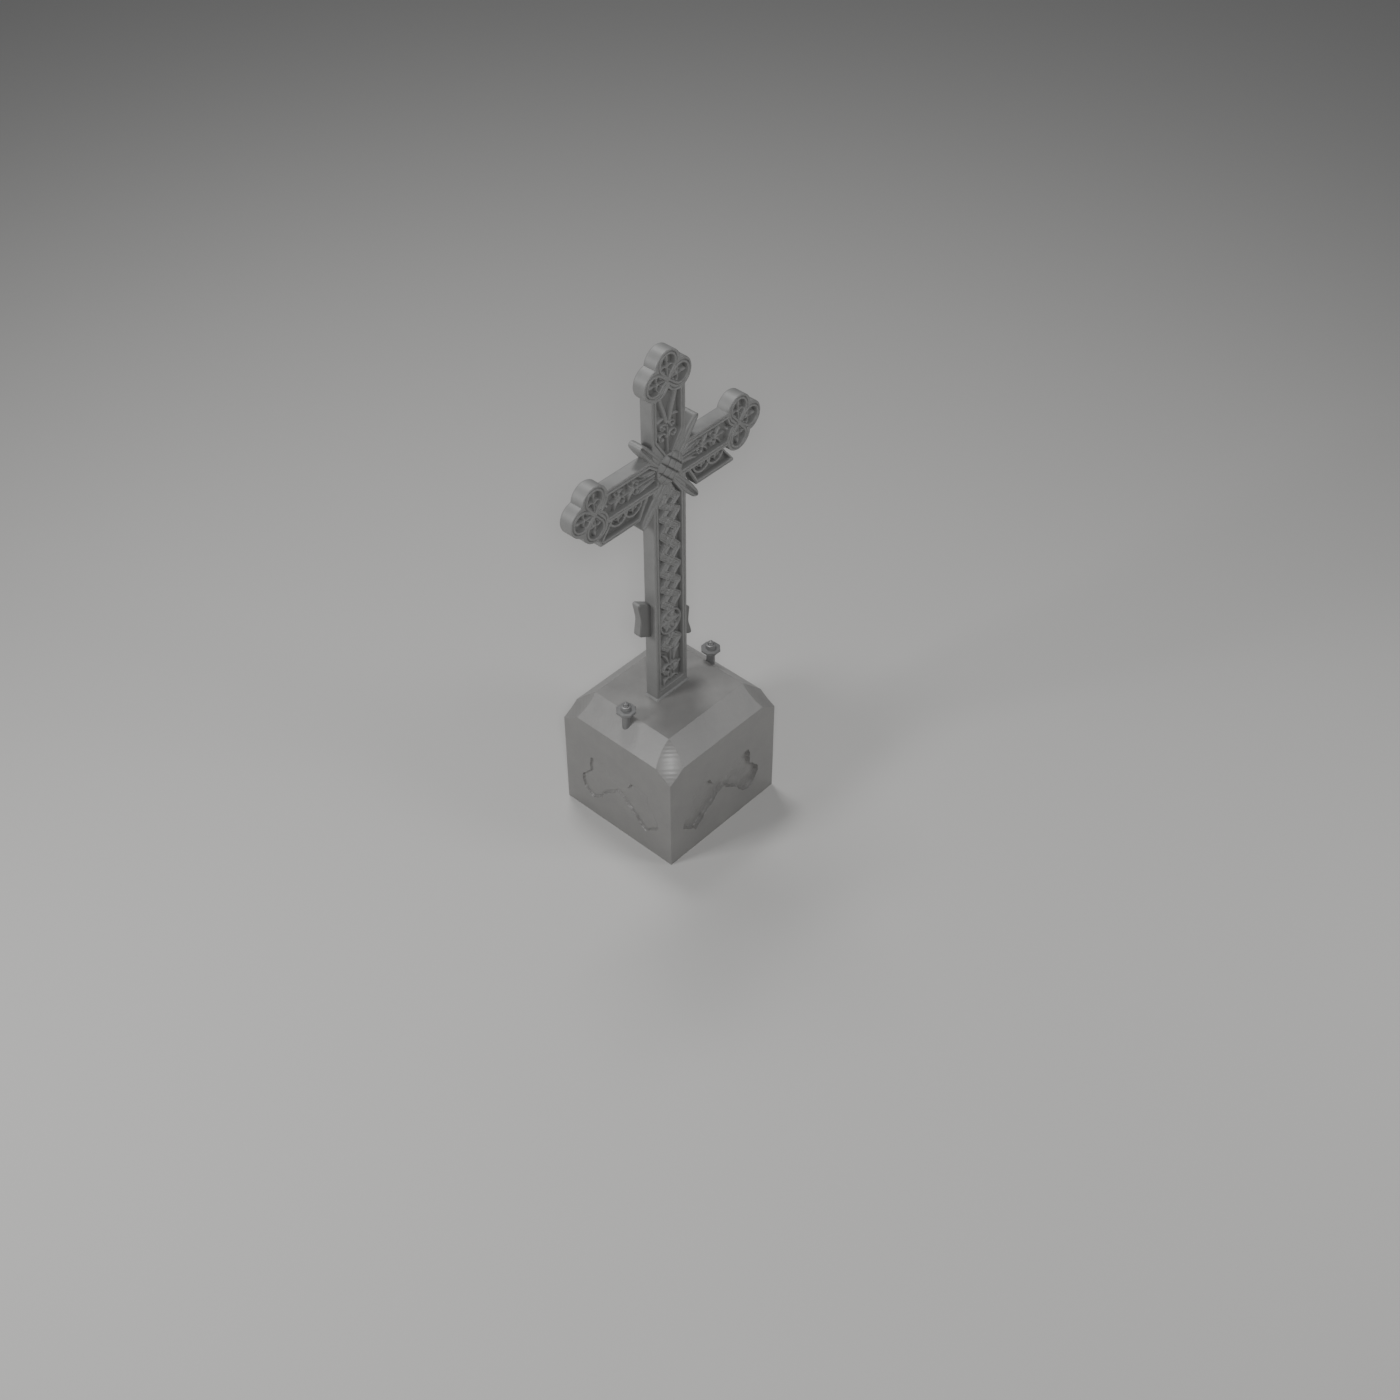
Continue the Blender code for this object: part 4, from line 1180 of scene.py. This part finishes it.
@dataclass
class CrossCasting:
    """The cast cross: its body, boss, rays, hanging panels, foot bar and skirt."""

    edge: float = 2.5 * MM
    bead: float = 6.2 * MM
    bead_height: float = 1.0 * MM
    line_depth: float = 2.7 * MM
    line_half: float = 1.5 * MM
    line_gap: float = 1.3 * MM
    # How far below a field's floor its carving is rooted, so that no gap shows
    root_depth: float = 0.4 * MM
    sill: float = 0.0285
    pocket_radius: float = 0.024
    pocket_start: float = 0.007
    throat: float = 0.010
    throat_length: float = 0.050
    arm_throat: float = 0.024
    # Rows of points beside the borders of the sunk fields, in millimetres, less than nothing outside
    field_rows: tuple = (-8.8, -8.1, -7.5, -6.9, -6.2, -5.3, -3.1, -1.2, -0.2, 0.5, 1.2, 1.9, 2.5)
    panel_rows: tuple = (-8.1, -7.5, -6.9, -6.2, -4.4, -3.1, -1.8, -0.8, -0.2, 0.5, 1.2, 1.9, 2.5)
    back_rows: tuple = (7.2, 8.2, 9.0, 9.8, 10.8)
    # Two points nearer than this count as one
    same: float = 0.55 * MM
    # A field's carving begins where its floor does, this far inside the border
    floor_start: float = 3.1 * MM
    recesses: list[Border] = field(default_factory=list)
    outline: Border | None = None

    @property
    def pocket_offset(self) -> float:
        """How far out the middle of each pocket's round part is."""
        return LOBE_OFFSET + LOBE_RADIUS - LOBE_RIM - self.pocket_radius

    def pocket(self) -> Line:
        """A drop-shaped pocket that points at the middle of the trefoil.

        Returns:
            The local points of its border.
        """
        spread = math.degrees(math.acos(self.pocket_radius / (self.pocket_offset - self.pocket_start)))
        round_part = arc((self.pocket_offset, 0.0), self.pocket_radius, spread - 180, 180 - spread)
        return np.vstack([[(self.pocket_start, 0.0)], round_part])

    def find_recesses(self) -> None:
        """Works out the borders of the sunk fields, whose throats end just under the boss."""
        half, under = SHAFT_HALF - RIM, 0.002
        low, high = CROSSING - BOSS_RADIUS, CROSSING + BOSS_RADIUS
        fields = [
            np.array([
                (-half, self.sill), (half, self.sill), (half, low - self.throat_length),
                (self.throat, low + under), (-self.throat, low + under), (-half, low - self.throat_length),
            ]),
            np.vstack([
                [(-half, high + self.throat_length), (-self.throat, high - under),
                 (self.throat, high - under), (half, high + self.throat_length)],
                placed(lobed_end(half), *ENDS[1]),
            ]),
        ]
        half = ARM_HALF - RIM
        for side, end in ((1, ENDS[0]), (-1, ENDS[2])):
            ring = [
                (side * (BOSS_RADIUS + self.arm_throat), CROSSING + half),
                (side * (BOSS_RADIUS - 2 * under), CROSSING + self.throat),
                (side * (BOSS_RADIUS - under), CROSSING - half),
            ]
            fields.append(np.vstack([ring[::side], placed(lobed_end(half), *end)]))
        for origin, direction in ENDS:
            for degrees in (-90, 0, 90):
                fields.append(placed(turned_by(self.pocket(), degrees), origin, direction))
        self.recesses = [Border(anticlockwise(points)) for points in fields]
        self.outline = Border(anticlockwise(cross_outline()))

    def sunk(self, points: Line, margin: float = 0.012) -> Line:
        """The signed distance of points to the nearest sunk field, more than nothing inside.

        Args:
            points: the points to measure.
            margin: how far round a field its border is measured.

        Returns:
            One distance for each.
        """
        return np.max([border.signed_near(points, margin) for border in self.recesses], axis=0)

    def frame_profile(self, inside: Line, strokes: list[Stroke], points: Line, base: float) -> Line:
        """The depth of a frame and its sunk field.

        Args:
            inside: each point's signed distance into the field.
            strokes: the carving on the field's floor.
            points: the points.
            base: the depth of the frame's own face.

        Returns:
            The depth of each point.
        """
        wall = eased((inside + 0.5 * MM) / (3.0 * MM)) * FLOOR
        swell = np.clip(1 - ((inside + self.bead / 2) / (self.bead / 2)) ** 2, 0, None)
        line = np.clip(1 - np.abs(inside + self.bead + self.line_gap) / self.line_half, 0, None)
        depth = base + wall - self.bead_height * np.sqrt(swell) + self.line_depth * line
        carved, root = np.full(len(points), FAR), FLOOR + base + self.root_depth
        for stroke in strokes:
            carved = np.minimum(carved, stroke.depth(points, root))
        return np.where(inside > 0.3 * MM, np.minimum(depth, carved), depth)

    def body(self) -> bpy.types.Object:
        """The upright and the arms with their frames, sunk fields and carving.

        Returns:
            The new object.
        """
        strokes = Carving().cross(self.pocket_offset)
        distance = self.outline.distance

        def front(points: Line) -> Line:
            """The carved front.

            Args:
                points: points on the cross.

            Returns:
                The depth of each, with a sharp edge at the foot, where the stone hides it.
            """
            depth = self.frame_profile(self.sunk(points), strokes, points, 0.0)
            edge = rounded_edge(np.abs(distance(points)), self.edge)
            return depth + np.where(points[:, 1] > 0.004, edge, 0.0)

        def back(points: Line) -> Line:
            """The plain back with one line along its border.

            Args:
                points: points on the cross.

            Returns:
                The depth of each.
            """
            gap = np.abs(distance(points))
            line = np.clip(1 - np.abs(gap - 9.0 * MM) / (1.6 * MM), 0, None) * 1.2 * MM
            return THICKNESS - rounded_edge(gap, self.edge) - line

        rims = rows_beside(self.recesses, self.field_rows, 2.4 * MM, self.sunk)
        rims = rims[distance(rims) > 3.2 * MM]
        shown = rows_beside([self.outline], EDGE_ROWS, 2.2 * MM, distance)
        fine = self.outline.filled(1.62 * MM, lambda p: self.sunk(p) > self.floor_start)
        wide = self.outline.filled(6.0 * MM, lambda p: (self.sunk(p) < -9.4 * MM) & (distance(p) > 3.4 * MM))
        inner = apart(np.vstack([rims, fine, wide, shown]), self.same)
        behind = rows_beside([self.outline], self.back_rows, 3.5 * MM, distance, 0.15 * MM)
        plain = self.outline.filled(9.0 * MM, lambda p: distance(p) > 12.0 * MM)
        inner_back = apart(np.vstack([behind, plain, shown]), self.same)
        return Plate("cross_body", self.outline.points, front, back, inner, inner_back, on_cross).build()

    def boss(self) -> bpy.types.Object:
        """A low dome scored into lozenges by three grooves each way.

        Returns:
            The new object.
        """
        cell, height, pitch, groove_half = 0.024, 0.013, 0.0012, 3.0 * MM
        # darker: how many times its depth each groove is drawn as painted shade
        back_depth, darker = 0.010, 4.0
        border = Border(arc((0.0, CROSSING), BOSS_RADIUS, 0, 356, 4.0))

        def scored(points: Line) -> Line:
            """The grooves, which run out at the dome's edge.

            Args:
                points: points on the cross.

            Returns:
                How deep each is cut below the dome.
            """
            x, z = points[:, 0], points[:, 1] - CROSSING
            inner_part = 1 - np.clip(np.hypot(x, z) / BOSS_RADIUS, 0, 1) ** 12
            depth = np.zeros(len(points))
            for way, cut in (((x + z) / math.sqrt(2), 3.0 * MM), ((x - z) / math.sqrt(2), 5.0 * MM)):
                gap = np.abs(way - np.round(way / cell) * cell)
                depth += np.clip(1 - gap / groove_half, 0, None) * cut
                depth += np.clip(1 - gap / (cell / 2), 0, None) ** 3 * 1.8 * MM
            return depth * inner_part

        def front(points: Line) -> Line:
            """The scored dome.

            Args:
                points: points on the cross.

            Returns:
                The depth of each.
            """
            out = np.clip(np.hypot(points[:, 0], points[:, 1] - CROSSING) / BOSS_RADIUS, 0, 1)
            return scored(points) - height * np.sqrt(1 - out**2 * 0.985) * (1 - 0.10 * out**8)

        reach = math.floor(BOSS_RADIUS / pitch)
        steps = np.arange(-reach, reach + 1) * pitch
        u, v = (axis.ravel() for axis in np.meshgrid(steps, steps))
        inner = np.column_stack([(u - v) / math.sqrt(2), CROSSING + (u + v) / math.sqrt(2)])
        inner = inner[border.distance(inner) > 0.9 * MM]
        return Plate(
            "cross_boss", border.points, front, lambda p: np.full(len(p), back_depth), inner,
            np.empty((0, 2)), on_cross, spacing=2.0 * MM, tone=lambda p: scored(p) * darker,
        ).build()

    def ray(self, name: str, sign_x: int, sign_z: int) -> bpy.types.Object:
        """A long leaf from under the boss to its tip, with a groove between two raised edges.

        Args:
            name: the object's name.
            sign_x: one on the right, minus one on the left.
            sign_z: one above the arm, minus one below.

        Returns:
            The new object.
        """
        start, neck, half_width = 0.20, 0.93, 0.0135
        ridge_rise, groove_depth = 2.5, 3.8
        widths = ((start, 0.40, 0.60, 0.80, neck, 1.0), (0.84, 1.0, 1.08, 0.98, 0.80, 0.70))
        middle = np.array((0.0, CROSSING - 0.014))
        along = np.array((sign_x * 0.100, sign_z * 0.124))
        across = np.array((-along[1], along[0])) / np.hypot(*along) * half_width
        rings = []
        for share in [*np.linspace(start, neck, 20), 0.955, 0.975, 0.99, 1.0]:
            half = float(np.interp(share, *widths))
            if share > neck:
                half *= math.sqrt(max(0.02, 1 - ((share - neck) / 0.0705) ** 2))
            full = min(1.0, half / 0.8)
            # Places across the leaf and depths in millimetres
            flank = [(1.0, 36.0), (1.0, 3.0), (0.97, 1.6), (0.90, 0.4)]
            section = [(-side, depth) for side, depth in flank]
            for side in np.linspace(-0.80, 0.80, 17):
                ridge = -ridge_rise * math.cos(min(1.0, abs(abs(side) - 0.52) / 0.5) * math.pi / 2)
                groove = groove_depth * full * max(0.0, 1 - (abs(side) / 0.36) ** 1.5)
                section.append((side, ridge + groove))
            section += [*flank[::-1], (0.93, 38.0), (-0.93, 38.0)]
            places = np.array([middle + along * share + across * half * side for side, _ in section])
            rings.append(on_cross(places, np.array([depth for _, depth in section]) * MM))
        return lofted(name, rings, 60.0)

    def panel(self, name: str, facing: int) -> bpy.types.Object:
        """The slanted sunk panel that hangs below one arm.

        Args:
            name: the object's name.
            facing: one on the right, minus one on the left.

        Returns:
            The new object.
        """
        drop, base = 0.061, 0.004
        top = CROSSING - ARM_HALF
        lean_in, lean_out = 0.034 / drop, 0.047 / drop

        def ring(foot_rim: float, end_rim: float, lift: float, radii: tuple) -> Line:
            """The panel's outline or that of its floor.

            Args:
                foot_rim: how far inside the lower edge and the inner end it runs.
                end_rim: how far inside the outer end it runs.
                lift: how far it reaches up under the arm.
                radii: the rounds of its corners.

            Returns:
                The points.
            """
            points = softened(np.array([
                (0.068 - lift * lean_in + foot_rim, top + lift),
                (0.102 - foot_rim * lean_in + foot_rim, top - drop + foot_rim),
                (0.247 - foot_rim * lean_out - end_rim, top - drop + foot_rim),
                (0.200 - lift * lean_out - end_rim, top + lift),
            ]), radii)
            return anticlockwise(points * (facing, 1.0))

        border = Border(ring(0.0, 0.0, 0.010, (0.0, 0.004, 0.0065, 0.0)))
        sunk = Border(ring(0.012, 0.006, 0.009, (0.0, 0.002, 0.003, 0.0)))
        strokes = Carving().panel(facing, drop, 0.102, 0.200)

        def front(points: Line) -> Line:
            """The carved front.

            Args:
                points: points on the cross.

            Returns:
                The depth of each.
            """
            inside = sunk.distance(points)
            depth = self.frame_profile(inside, strokes, points, base)
            return depth + rounded_edge(np.abs(border.distance(points)), self.edge)

        def back(points: Line) -> Line:
            """The depth of the plain back, a little inside that of the arm."""
            return THICKNESS - 3.0 * MM - rounded_edge(np.abs(border.distance(points)), self.edge)

        rims = rows_beside([sunk], self.panel_rows, 2.0 * MM, sunk.distance)
        rims = rims[border.distance(rims) > 0.6 * MM]
        edges = border.edge_rows(EDGE_ROWS, 2.2 * MM, 0.3 * MM)
        fine = border.filled(1.6 * MM, lambda p: sunk.distance(p) > self.floor_start)
        inner = apart(np.vstack([rims, edges, fine]), self.same)
        return Plate(name, border.points, front, back, inner, apart(edges, self.same), on_cross).build()

    def bar(self) -> bpy.types.Object:
        """The slanted foot bar behind the upright, notched like a swallow's tail at both ends.

        Returns:
            The new object.
        """
        middle, tip_round, notch_round = 0.237, 0.009, 0.060
        corners = (
            (-0.099, 0.001), (-0.091, 0.0525), (-0.104, 0.117),
            (0.0915, -0.009), (0.086, -0.055), (0.1025, -0.112),
        )
        radii = (tip_round, notch_round, tip_round) * 2
        border = Border(anticlockwise(softened(np.array(corners) + (0.0, middle), radii)))
        near, far, soft = 18.5 * MM, 45.0 * MM, 4.0 * MM
        edges = apart(border.edge_rows((0.4, 1.1, 2.0, 3.0, 4.1), 3.0 * MM, 0.4 * MM), 0.6 * MM)

        def front(points: Line) -> Line:
            """The depth of the plain front."""
            return near + rounded_edge(np.abs(border.distance(points)), soft)

        def back(points: Line) -> Line:
            """The depth of the plain back."""
            return far - rounded_edge(np.abs(border.distance(points)), soft)

        return Plate(
            "cross_foot_bar", border.points, front, back, edges, edges, on_cross, spacing=3.0 * MM,
        ).build()

    def skirt(self) -> bpy.types.Object:
        """The small flared skirt where the upright meets the plinth.

        Returns:
            The new object.
        """
        # Heights over the plinth and how far out the skirt reaches there, in millimetres
        rows = ((0.3, 5.0), (0.8, 4.7), (1.8, 2.9), (3.0, 1.3), (4.5, 0.3), (6.0, -0.4))
        corner, middle = 3.0 * MM, FRONT_Y + THICKNESS / 2
        rings = []
        for height, reach in rows:
            wide, deep = SHAFT_HALF + reach * MM, THICKNESS / 2 + reach * MM
            points = np.vstack([
                arc((x * (wide - corner), y * (deep - corner)), corner, start, start + 90, 15.0)
                for x, y, start in ((1, 1, 0), (-1, 1, 90), (-1, -1, 180), (1, -1, 270))
            ])
            level = np.full(len(points), FOOT_Z + height * MM)
            rings.append(np.column_stack([points[:, 0], middle + points[:, 1], level]))
        return lofted("cross_skirt", rings)

    def build(self, finish: bpy.types.Material) -> None:
        """Makes and dresses every piece of the casting.

        Args:
            finish: the casting's material.
        """
        self.find_recesses()
        body = self.body()
        pieces = [body, self.boss(), self.bar(), self.skirt()]
        for across, sign_x in (("right", 1), ("left", -1)):
            pieces.append(self.panel(f"cross_panel_{across}", sign_x))
            for up, sign_z in (("upper", 1), ("lower", -1)):
                pieces.append(self.ray(f"cross_ray_{up}_{across}", sign_x, sign_z))
        for piece in pieces:
            dressed(piece, finish)
        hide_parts("cross")


@dataclass
class Plinth:
    """The stone block with its sloping shoulders, corner scoops and flaked patches."""

    width: float = 0.420
    depth: float = 0.396
    face: float = 0.337
    rise: float = 0.057
    inset: float = 0.063
    scoop_reach: float = 0.051
    scoop_drop: float = 0.032
    scoop_sag: float = 0.0066
    scoop_half: float = 0.055
    ripple: float = 0.13 * MM
    ripples: float = 11.0
    arris: float = 1.4 * MM
    flake_front: float = 0.013
    flake_left: float = 0.005
    # How far in millimetres the broken edge strays in its wide and narrow bends, and their length
    stray: tuple = ((3.4, 0.016), (1.6, 0.006))
    # A flaked patch's outline, as shares of the face's width and height
    flake: tuple = (
        (0.12, 0.31), (0.20, 0.23), (0.235, 0.19), (0.30, 0.25), (0.33, 0.30), (0.415, 0.365),
        (0.45, 0.42), (0.51, 0.445), (0.53, 0.40), (0.62, 0.33), (0.66, 0.265), (0.70, 0.21),
        (0.75, 0.18), (0.80, 0.215), (0.85, 0.315), (0.84, 0.385), (0.765, 0.48), (0.765, 0.57),
        (0.745, 0.64), (0.685, 0.63), (0.635, 0.655), (0.60, 0.64), (0.57, 0.57), (0.505, 0.565),
        (0.405, 0.565), (0.375, 0.63), (0.34, 0.645), (0.25, 0.635), (0.215, 0.62), (0.21, 0.545),
        (0.15, 0.435), (0.125, 0.39),
    )

    def block(self) -> bpy.types.Object:
        """The block before any stone is lost.

        Returns:
            The new object.
        """
        rings = [
            np.array([(x * (self.width / 2 - i), y * (self.depth / 2 - i), z) for x, y in QUARTERS])
            for i, z in ((0.0, 0.0), (0.0, self.face), (self.inset, self.face + self.rise))
        ]
        block = lofted("plinth_block", rings)
        # An empty layer of painted shade, into which the cuts carry the flakes' painted shade
        block.data.attributes.new("sunk", "FLOAT", "POINT")
        return block

    def scoop(self, corner: tuple[int, int]) -> bpy.types.Object:
        """A long shallow bowl that cuts one upper corner.

        Args:
            corner: the signs of the corner's X and Y.

        Returns:
            The tool that the block is cut with.
        """
        foot = Vector((0.0, 0.0, self.face - self.scoop_drop))
        head = Vector((self.inset, self.inset, self.face + self.rise))
        side = Vector((0.0, self.scoop_reach, self.face)) - foot
        along = (head - foot).normalized()
        lateral = Vector((-1.0, 1.0, 0.0)).normalized()
        outwards = lateral.cross(along) if lateral.cross(along).z > 0 else along.cross(lateral)
        length = (head - foot).length

        def sag(share: float) -> float:
            """How far the bowl's bed hangs below a straight line."""
            return 4 * self.scoop_sag * share * (1 - share)

        spread = (side.dot(outwards) + sag(side.dot(along) / length)) / side.dot(lateral) ** 2
        rings = []
        steps, long_steps, past_end, drift, drift_rate = 26, 72, 0.3, 2.2, 7.0
        for i in range(long_steps + 1):
            share = (1 + 2 * past_end) * i / long_steps - past_end
            strayed = drift * math.sin(share * drift_rate)
            ripple = self.ripple * math.sin(share * math.tau * self.ripples + strayed)
            middle = foot + along * (share * length) - outwards * (sag(share) + ripple)
            offsets = [self.scoop_half * (2 * k / steps - 1) for k in range(steps + 1)]
            ring = [middle + lateral * v + outwards * spread * v**2 for v in offsets]
            ring += [ring[-1] + outwards * self.scoop_half, ring[0] + outwards * self.scoop_half]
            rings.append(np.array([
                (corner[0] * (self.width / 2 - x), corner[1] * (self.depth / 2 - y), z) for x, y, z in ring
            ]))
        return lofted("scoop", rings)

    def ragged(self, width: float, seed: float) -> Line:
        """The outline of a flaked patch with a broken edge.

        Args:
            width: how wide the face is that it lies across.
            seed: which breaks it has.

        Returns:
            The points on the face.
        """
        corners = np.array([(width * s, self.face * h) for s, h in self.flake])
        line = Border(anticlockwise(corners)).sampled(3.2 * MM)
        run = np.roll(line, -1, axis=0) - np.roll(line, 1, axis=0)
        length = np.maximum(np.hypot(*run.T), math.sqrt(LEAST_SQUARE))
        normal = np.column_stack([-run[:, 1], run[:, 0]]) / length[:, None]
        shift = sum(uneven(line, size, seed) * far for far, size in self.stray)
        return line - normal * shift[:, None] * MM

    def flaked(self, name: str, width: float, deep: float, crevice: float, edge_shade: float, seed: float,
               to_world: Callable[[Line, Line], Line]) -> bpy.types.Object:
        """The stone lost from one face: steps at its edge and an uneven floor.

        Args:
            name: the tool's name.
            width: how wide the face is.
            deep: how deep the floor lies.
            crevice: how much deeper it is along its edge, as a share of its depth.
            edge_shade: how much painted shade lies along its edge.
            seed: which breaks it has.
            to_world: what turns points and depths of the face to places in the world.

        Returns:
            The tool that the block is cut with.
        """
        border = Border(self.ragged(width, seed))
        out_of_stone, step = -0.008, 1.2 * MM

        def floor(points: Line) -> Line:
            """Two steps down from the edge and a floor that is broken unevenly.

            Args:
                points: points on the face.

            Returns:
                The depth of each.
            """
            inside = np.clip(border.distance(points), 0, None)
            rough, fine = uneven(points, 0.030, seed + 3), uneven(points, 0.009, seed + 5)
            reach = inside * (1 + 0.5 * rough)
            first = eased(reach / step) * 0.52
            second = eased((reach - 2.0 * MM) / step) * (0.46 + crevice)
            risen = eased((reach - 3.4 * MM) / (5.0 * MM)) * 1.9 * crevice
            waves = (rough * 0.10 + fine * 0.05) * eased(inside / (6 * MM))
            return (first + second - risen + waves) * deep

        def edge_shading(points: Line) -> Line:
            """The painted shade of the flake, strongest along its edge."""
            return edge_shade * (1 - 0.8 * eased((border.distance(points) - 3.0 * MM) / (4.0 * MM)))

        middle = border.filled(2.6 * MM, lambda p: border.distance(p) > 4.4 * MM)
        edges = border.edge_rows((0.5, 1.1, 1.8, 2.6, 3.4), 2.4 * MM, 0.35 * MM)
        inner = apart(np.vstack([edges, middle]), 0.5 * MM)
        return Plate(
            name, border.points, floor, lambda p: np.full(len(p), out_of_stone), inner,
            np.empty((0, 2)), to_world, spacing=3.0 * MM, tone=edge_shading,
        ).build()

    def build(self, finish: bpy.types.Material) -> None:
        """Makes the block, cuts it and dresses it.

        Args:
            finish: the stone's material.
        """
        block = self.block()
        front_y, left_x = -self.depth / 2, -self.width / 2

        def on_front(points: Line, depth: Line) -> Line:
            """Points and depths of the front face as places in the world."""
            return np.column_stack([left_x + points[:, 0], front_y + depth, points[:, 1]])

        def on_left(points: Line, depth: Line) -> Line:
            """Points and depths of the left face as places in the world."""
            return np.column_stack([left_x + depth, front_y + points[:, 0], points[:, 1]])

        def cut(tool: bpy.types.Object) -> None:
            """Cuts a tool out of the block and takes the tool away.

            Args:
                tool: the body that is cut out.
            """
            how = {"operation": "DIFFERENCE", "object": tool, "solver": "EXACT"}
            applied(block, tool.name, "BOOLEAN", how)
            bpy.data.objects.remove(tool, do_unlink=True)

        for corner in QUARTERS:
            cut(self.scoop(corner))
        applied(block, "arris", "BEVEL", {
            "width": self.arris, "segments": 3, "limit_method": "ANGLE", "angle_limit": math.radians(24),
        })
        # Only the left flake gets painted shade along its edge; the front one gets none.
        cut(self.flaked("front_flake", self.width, self.flake_front, 0.0, 0.0, 1.0, on_front))
        cut(self.flaked("left_flake", self.depth, self.flake_left, 0.16, 13.0 * MM, 7.0, on_left))
        block.name = "plinth_stone"
        block.data.shade_smooth()
        block.data.set_sharp_from_angle(angle=math.radians(28))
        applied(block, "even_light", "WEIGHTED_NORMAL", {"keep_sharp": True})
        dressed(block, finish)
        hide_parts("plinth")


@dataclass
class Anchor:
    """A stud in the shoulder with its flanged nut."""

    side: str
    place: tuple[float, float]
    stud_radius: float = 0.012
    thread_radius: float = 0.00725
    neck: float = 0.411
    cone: float = 0.010
    flange: float = 0.009
    flange_half: float = 0.026
    collar_radius: float = 0.014
    collar: float = 0.013
    standout: float = 0.012
    root: float = 0.335
    chamfer: float = 1.2 * MM
    thread_depth: float = 0.7 * MM
    thread_pitch: float = 1.8 * MM
    clearance: float = 0.3 * MM
    sides: int = 8

    def stud(self) -> bpy.types.Object:
        """The stud with its thread rings and its domed tip.

        Returns:
            The new object.
        """
        tip = self.neck + self.cone + self.flange + self.collar + self.standout
        r, t = self.stud_radius, self.thread_radius
        profile = [
            (r, self.root), (r, self.neck - self.chamfer), (r - self.chamfer, self.neck),
            (t - 0.6 * MM, self.neck),
        ]
        height = self.neck + 0.6 * MM
        while height < tip - t - 1.0 * MM:
            profile += [(t - self.thread_depth, height), (t, height + self.thread_pitch / 2)]
            height += self.thread_pitch
        for c, s in map(compass, (0, 20, 40, 60, 75, 86)):
            profile.append((t * c, tip - t + t * s))
        return lathed(f"stud_{self.side}", profile, self.place, 40)

    def build(self, finish: bpy.types.Material) -> None:
        """Makes and dresses the stud and the nut.

        Args:
            finish: the steel's material.
        """
        r, t = self.stud_radius, self.thread_radius
        stud = self.stud()
        base = self.neck + self.clearance
        low, top = base + self.cone, base + self.cone + self.flange
        turn = math.pi / self.sides
        corner = self.flange_half / math.cos(turn)
        flange = [
            (r / math.cos(turn), base), (corner * 0.55, base + 0.004), (corner * 0.80, low - 0.0006),
            (corner * 0.96, low + 0.0006), (corner, low + 0.0022), (corner, top - 0.0022),
            (corner - 0.0007, top - 0.0008), (corner - 0.0020, top), (self.collar_radius, top),
        ]
        nut = lathed(f"nut_{self.side}", flange, self.place, self.sides, turn, 25.0)
        c, end = self.collar_radius, top + self.collar
        ring = [
            (c + 0.0014, top - 0.001), (c + 0.0012, top + 0.0004), (c + 0.0003, top + 0.0014),
            (c, top + 0.003),
            (c, end - 0.0020), (c - 0.0006, end - 0.0007), (c - 0.0020, end), (t + 0.0014, end),
            (t + self.clearance, end - 0.0012),
        ]
        collar = lathed(f"nut_collar_{self.side}", ring, self.place, 48)
        for piece in (stud, nut, collar):
            dressed(piece, finish)
        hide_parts(f"anchor_stud_{self.side}")
        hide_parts(f"flange_nut_{self.side}")


@dataclass
class Studio:
    """The floor, the soft lights and the camera."""

    eye: tuple = (-2.804, -2.671, 3.974)
    target: tuple = (0.0325, -0.0829, 0.378)
    lens: float = 50.08
    sensor: float = 36.0
    floor_half: float = 12.0
    # Each light's name, its place, its size in metres and its power in watts
    lamps: tuple = (
        ("viewer_side", (-3.0, -2.95, 4.35), 0.55, 95.0), ("left", (-3.2, 1.2, 2.8), 1.0, 60.0),
        ("right", (1.6, -3.2, 2.2), 1.2, 30.0), ("top", (0.6, 1.4, 4.4), 1.0, 62.0),
    )

    def lamp(self, name: str, place: tuple, size: float, power: float) -> None:
        """Adds one square soft light that faces the cross.

        Args:
            name: the light's name.
            place: where it stands.
            size: the length of its side.
            power: its power in watts.
        """
        data = bpy.data.lights.new(name, "AREA")
        data.size, data.energy = size, power
        made = bpy.data.objects.new(name, data)
        made.location = place
        made.rotation_euler = (Vector((0, 0, 0.7)) - Vector(place)).to_track_quat("-Z", "Y").to_euler()
        bpy.context.scene.collection.objects.link(made)

    def build(self) -> None:
        """Makes the floor, the lights, the world and the camera."""
        mesh = bpy.data.meshes.new("floor")
        corners = [(x * self.floor_half, y * self.floor_half, 0.0) for x, y in QUARTERS]
        mesh.from_pydata(corners, [], [(0, 1, 2, 3)])
        floor = bpy.data.objects.new("floor", mesh)
        bpy.context.scene.collection.objects.link(floor)
        paint = bpy.data.materials.new("pale_floor")
        paint.use_nodes = True
        shader = paint.node_tree.nodes["Principled BSDF"]
        shader.inputs["Base Color"].default_value = linear("C9C8C6")
        shader.inputs["Roughness"].default_value = 0.9
        mesh.materials.append(paint)
        for lamp in self.lamps:
            self.lamp(*lamp)
        world = bpy.data.worlds.new("studio")
        world.use_nodes = True
        sky = world.node_tree.nodes["Background"]
        sky.inputs["Color"].default_value = linear("C4C6C9")
        sky.inputs["Strength"].default_value = 0.20
        bpy.context.scene.world = world
        data = bpy.data.cameras.new("camera")
        data.lens, data.sensor_width = self.lens, self.sensor
        camera = bpy.data.objects.new("camera", data)
        camera.location = self.eye
        view = Vector(self.target) - Vector(self.eye)
        camera.rotation_euler = view.to_track_quat("-Z", "Y").to_euler()
        bpy.context.scene.collection.objects.link(camera)
        bpy.context.scene.camera = camera
        log.info("studio: %d lights and the camera", len(self.lamps))


def main() -> None:
    """Builds the plinth, the cross, the anchors and the studio."""
    logging.basicConfig(level=logging.INFO, format="%(name)s %(message)s")
    Plinth().build(STONE.build())
    CrossCasting().build(IRON.build())
    steel = STEEL.build()
    stud_reach = 0.167
    for side, sign in (("left", -1), ("right", 1)):
        Anchor(side, (sign * stud_reach, 0.0)).build(steel)
    Studio().build()
    bpy.context.view_layer.update()


if __name__ == "__main__":
    main()
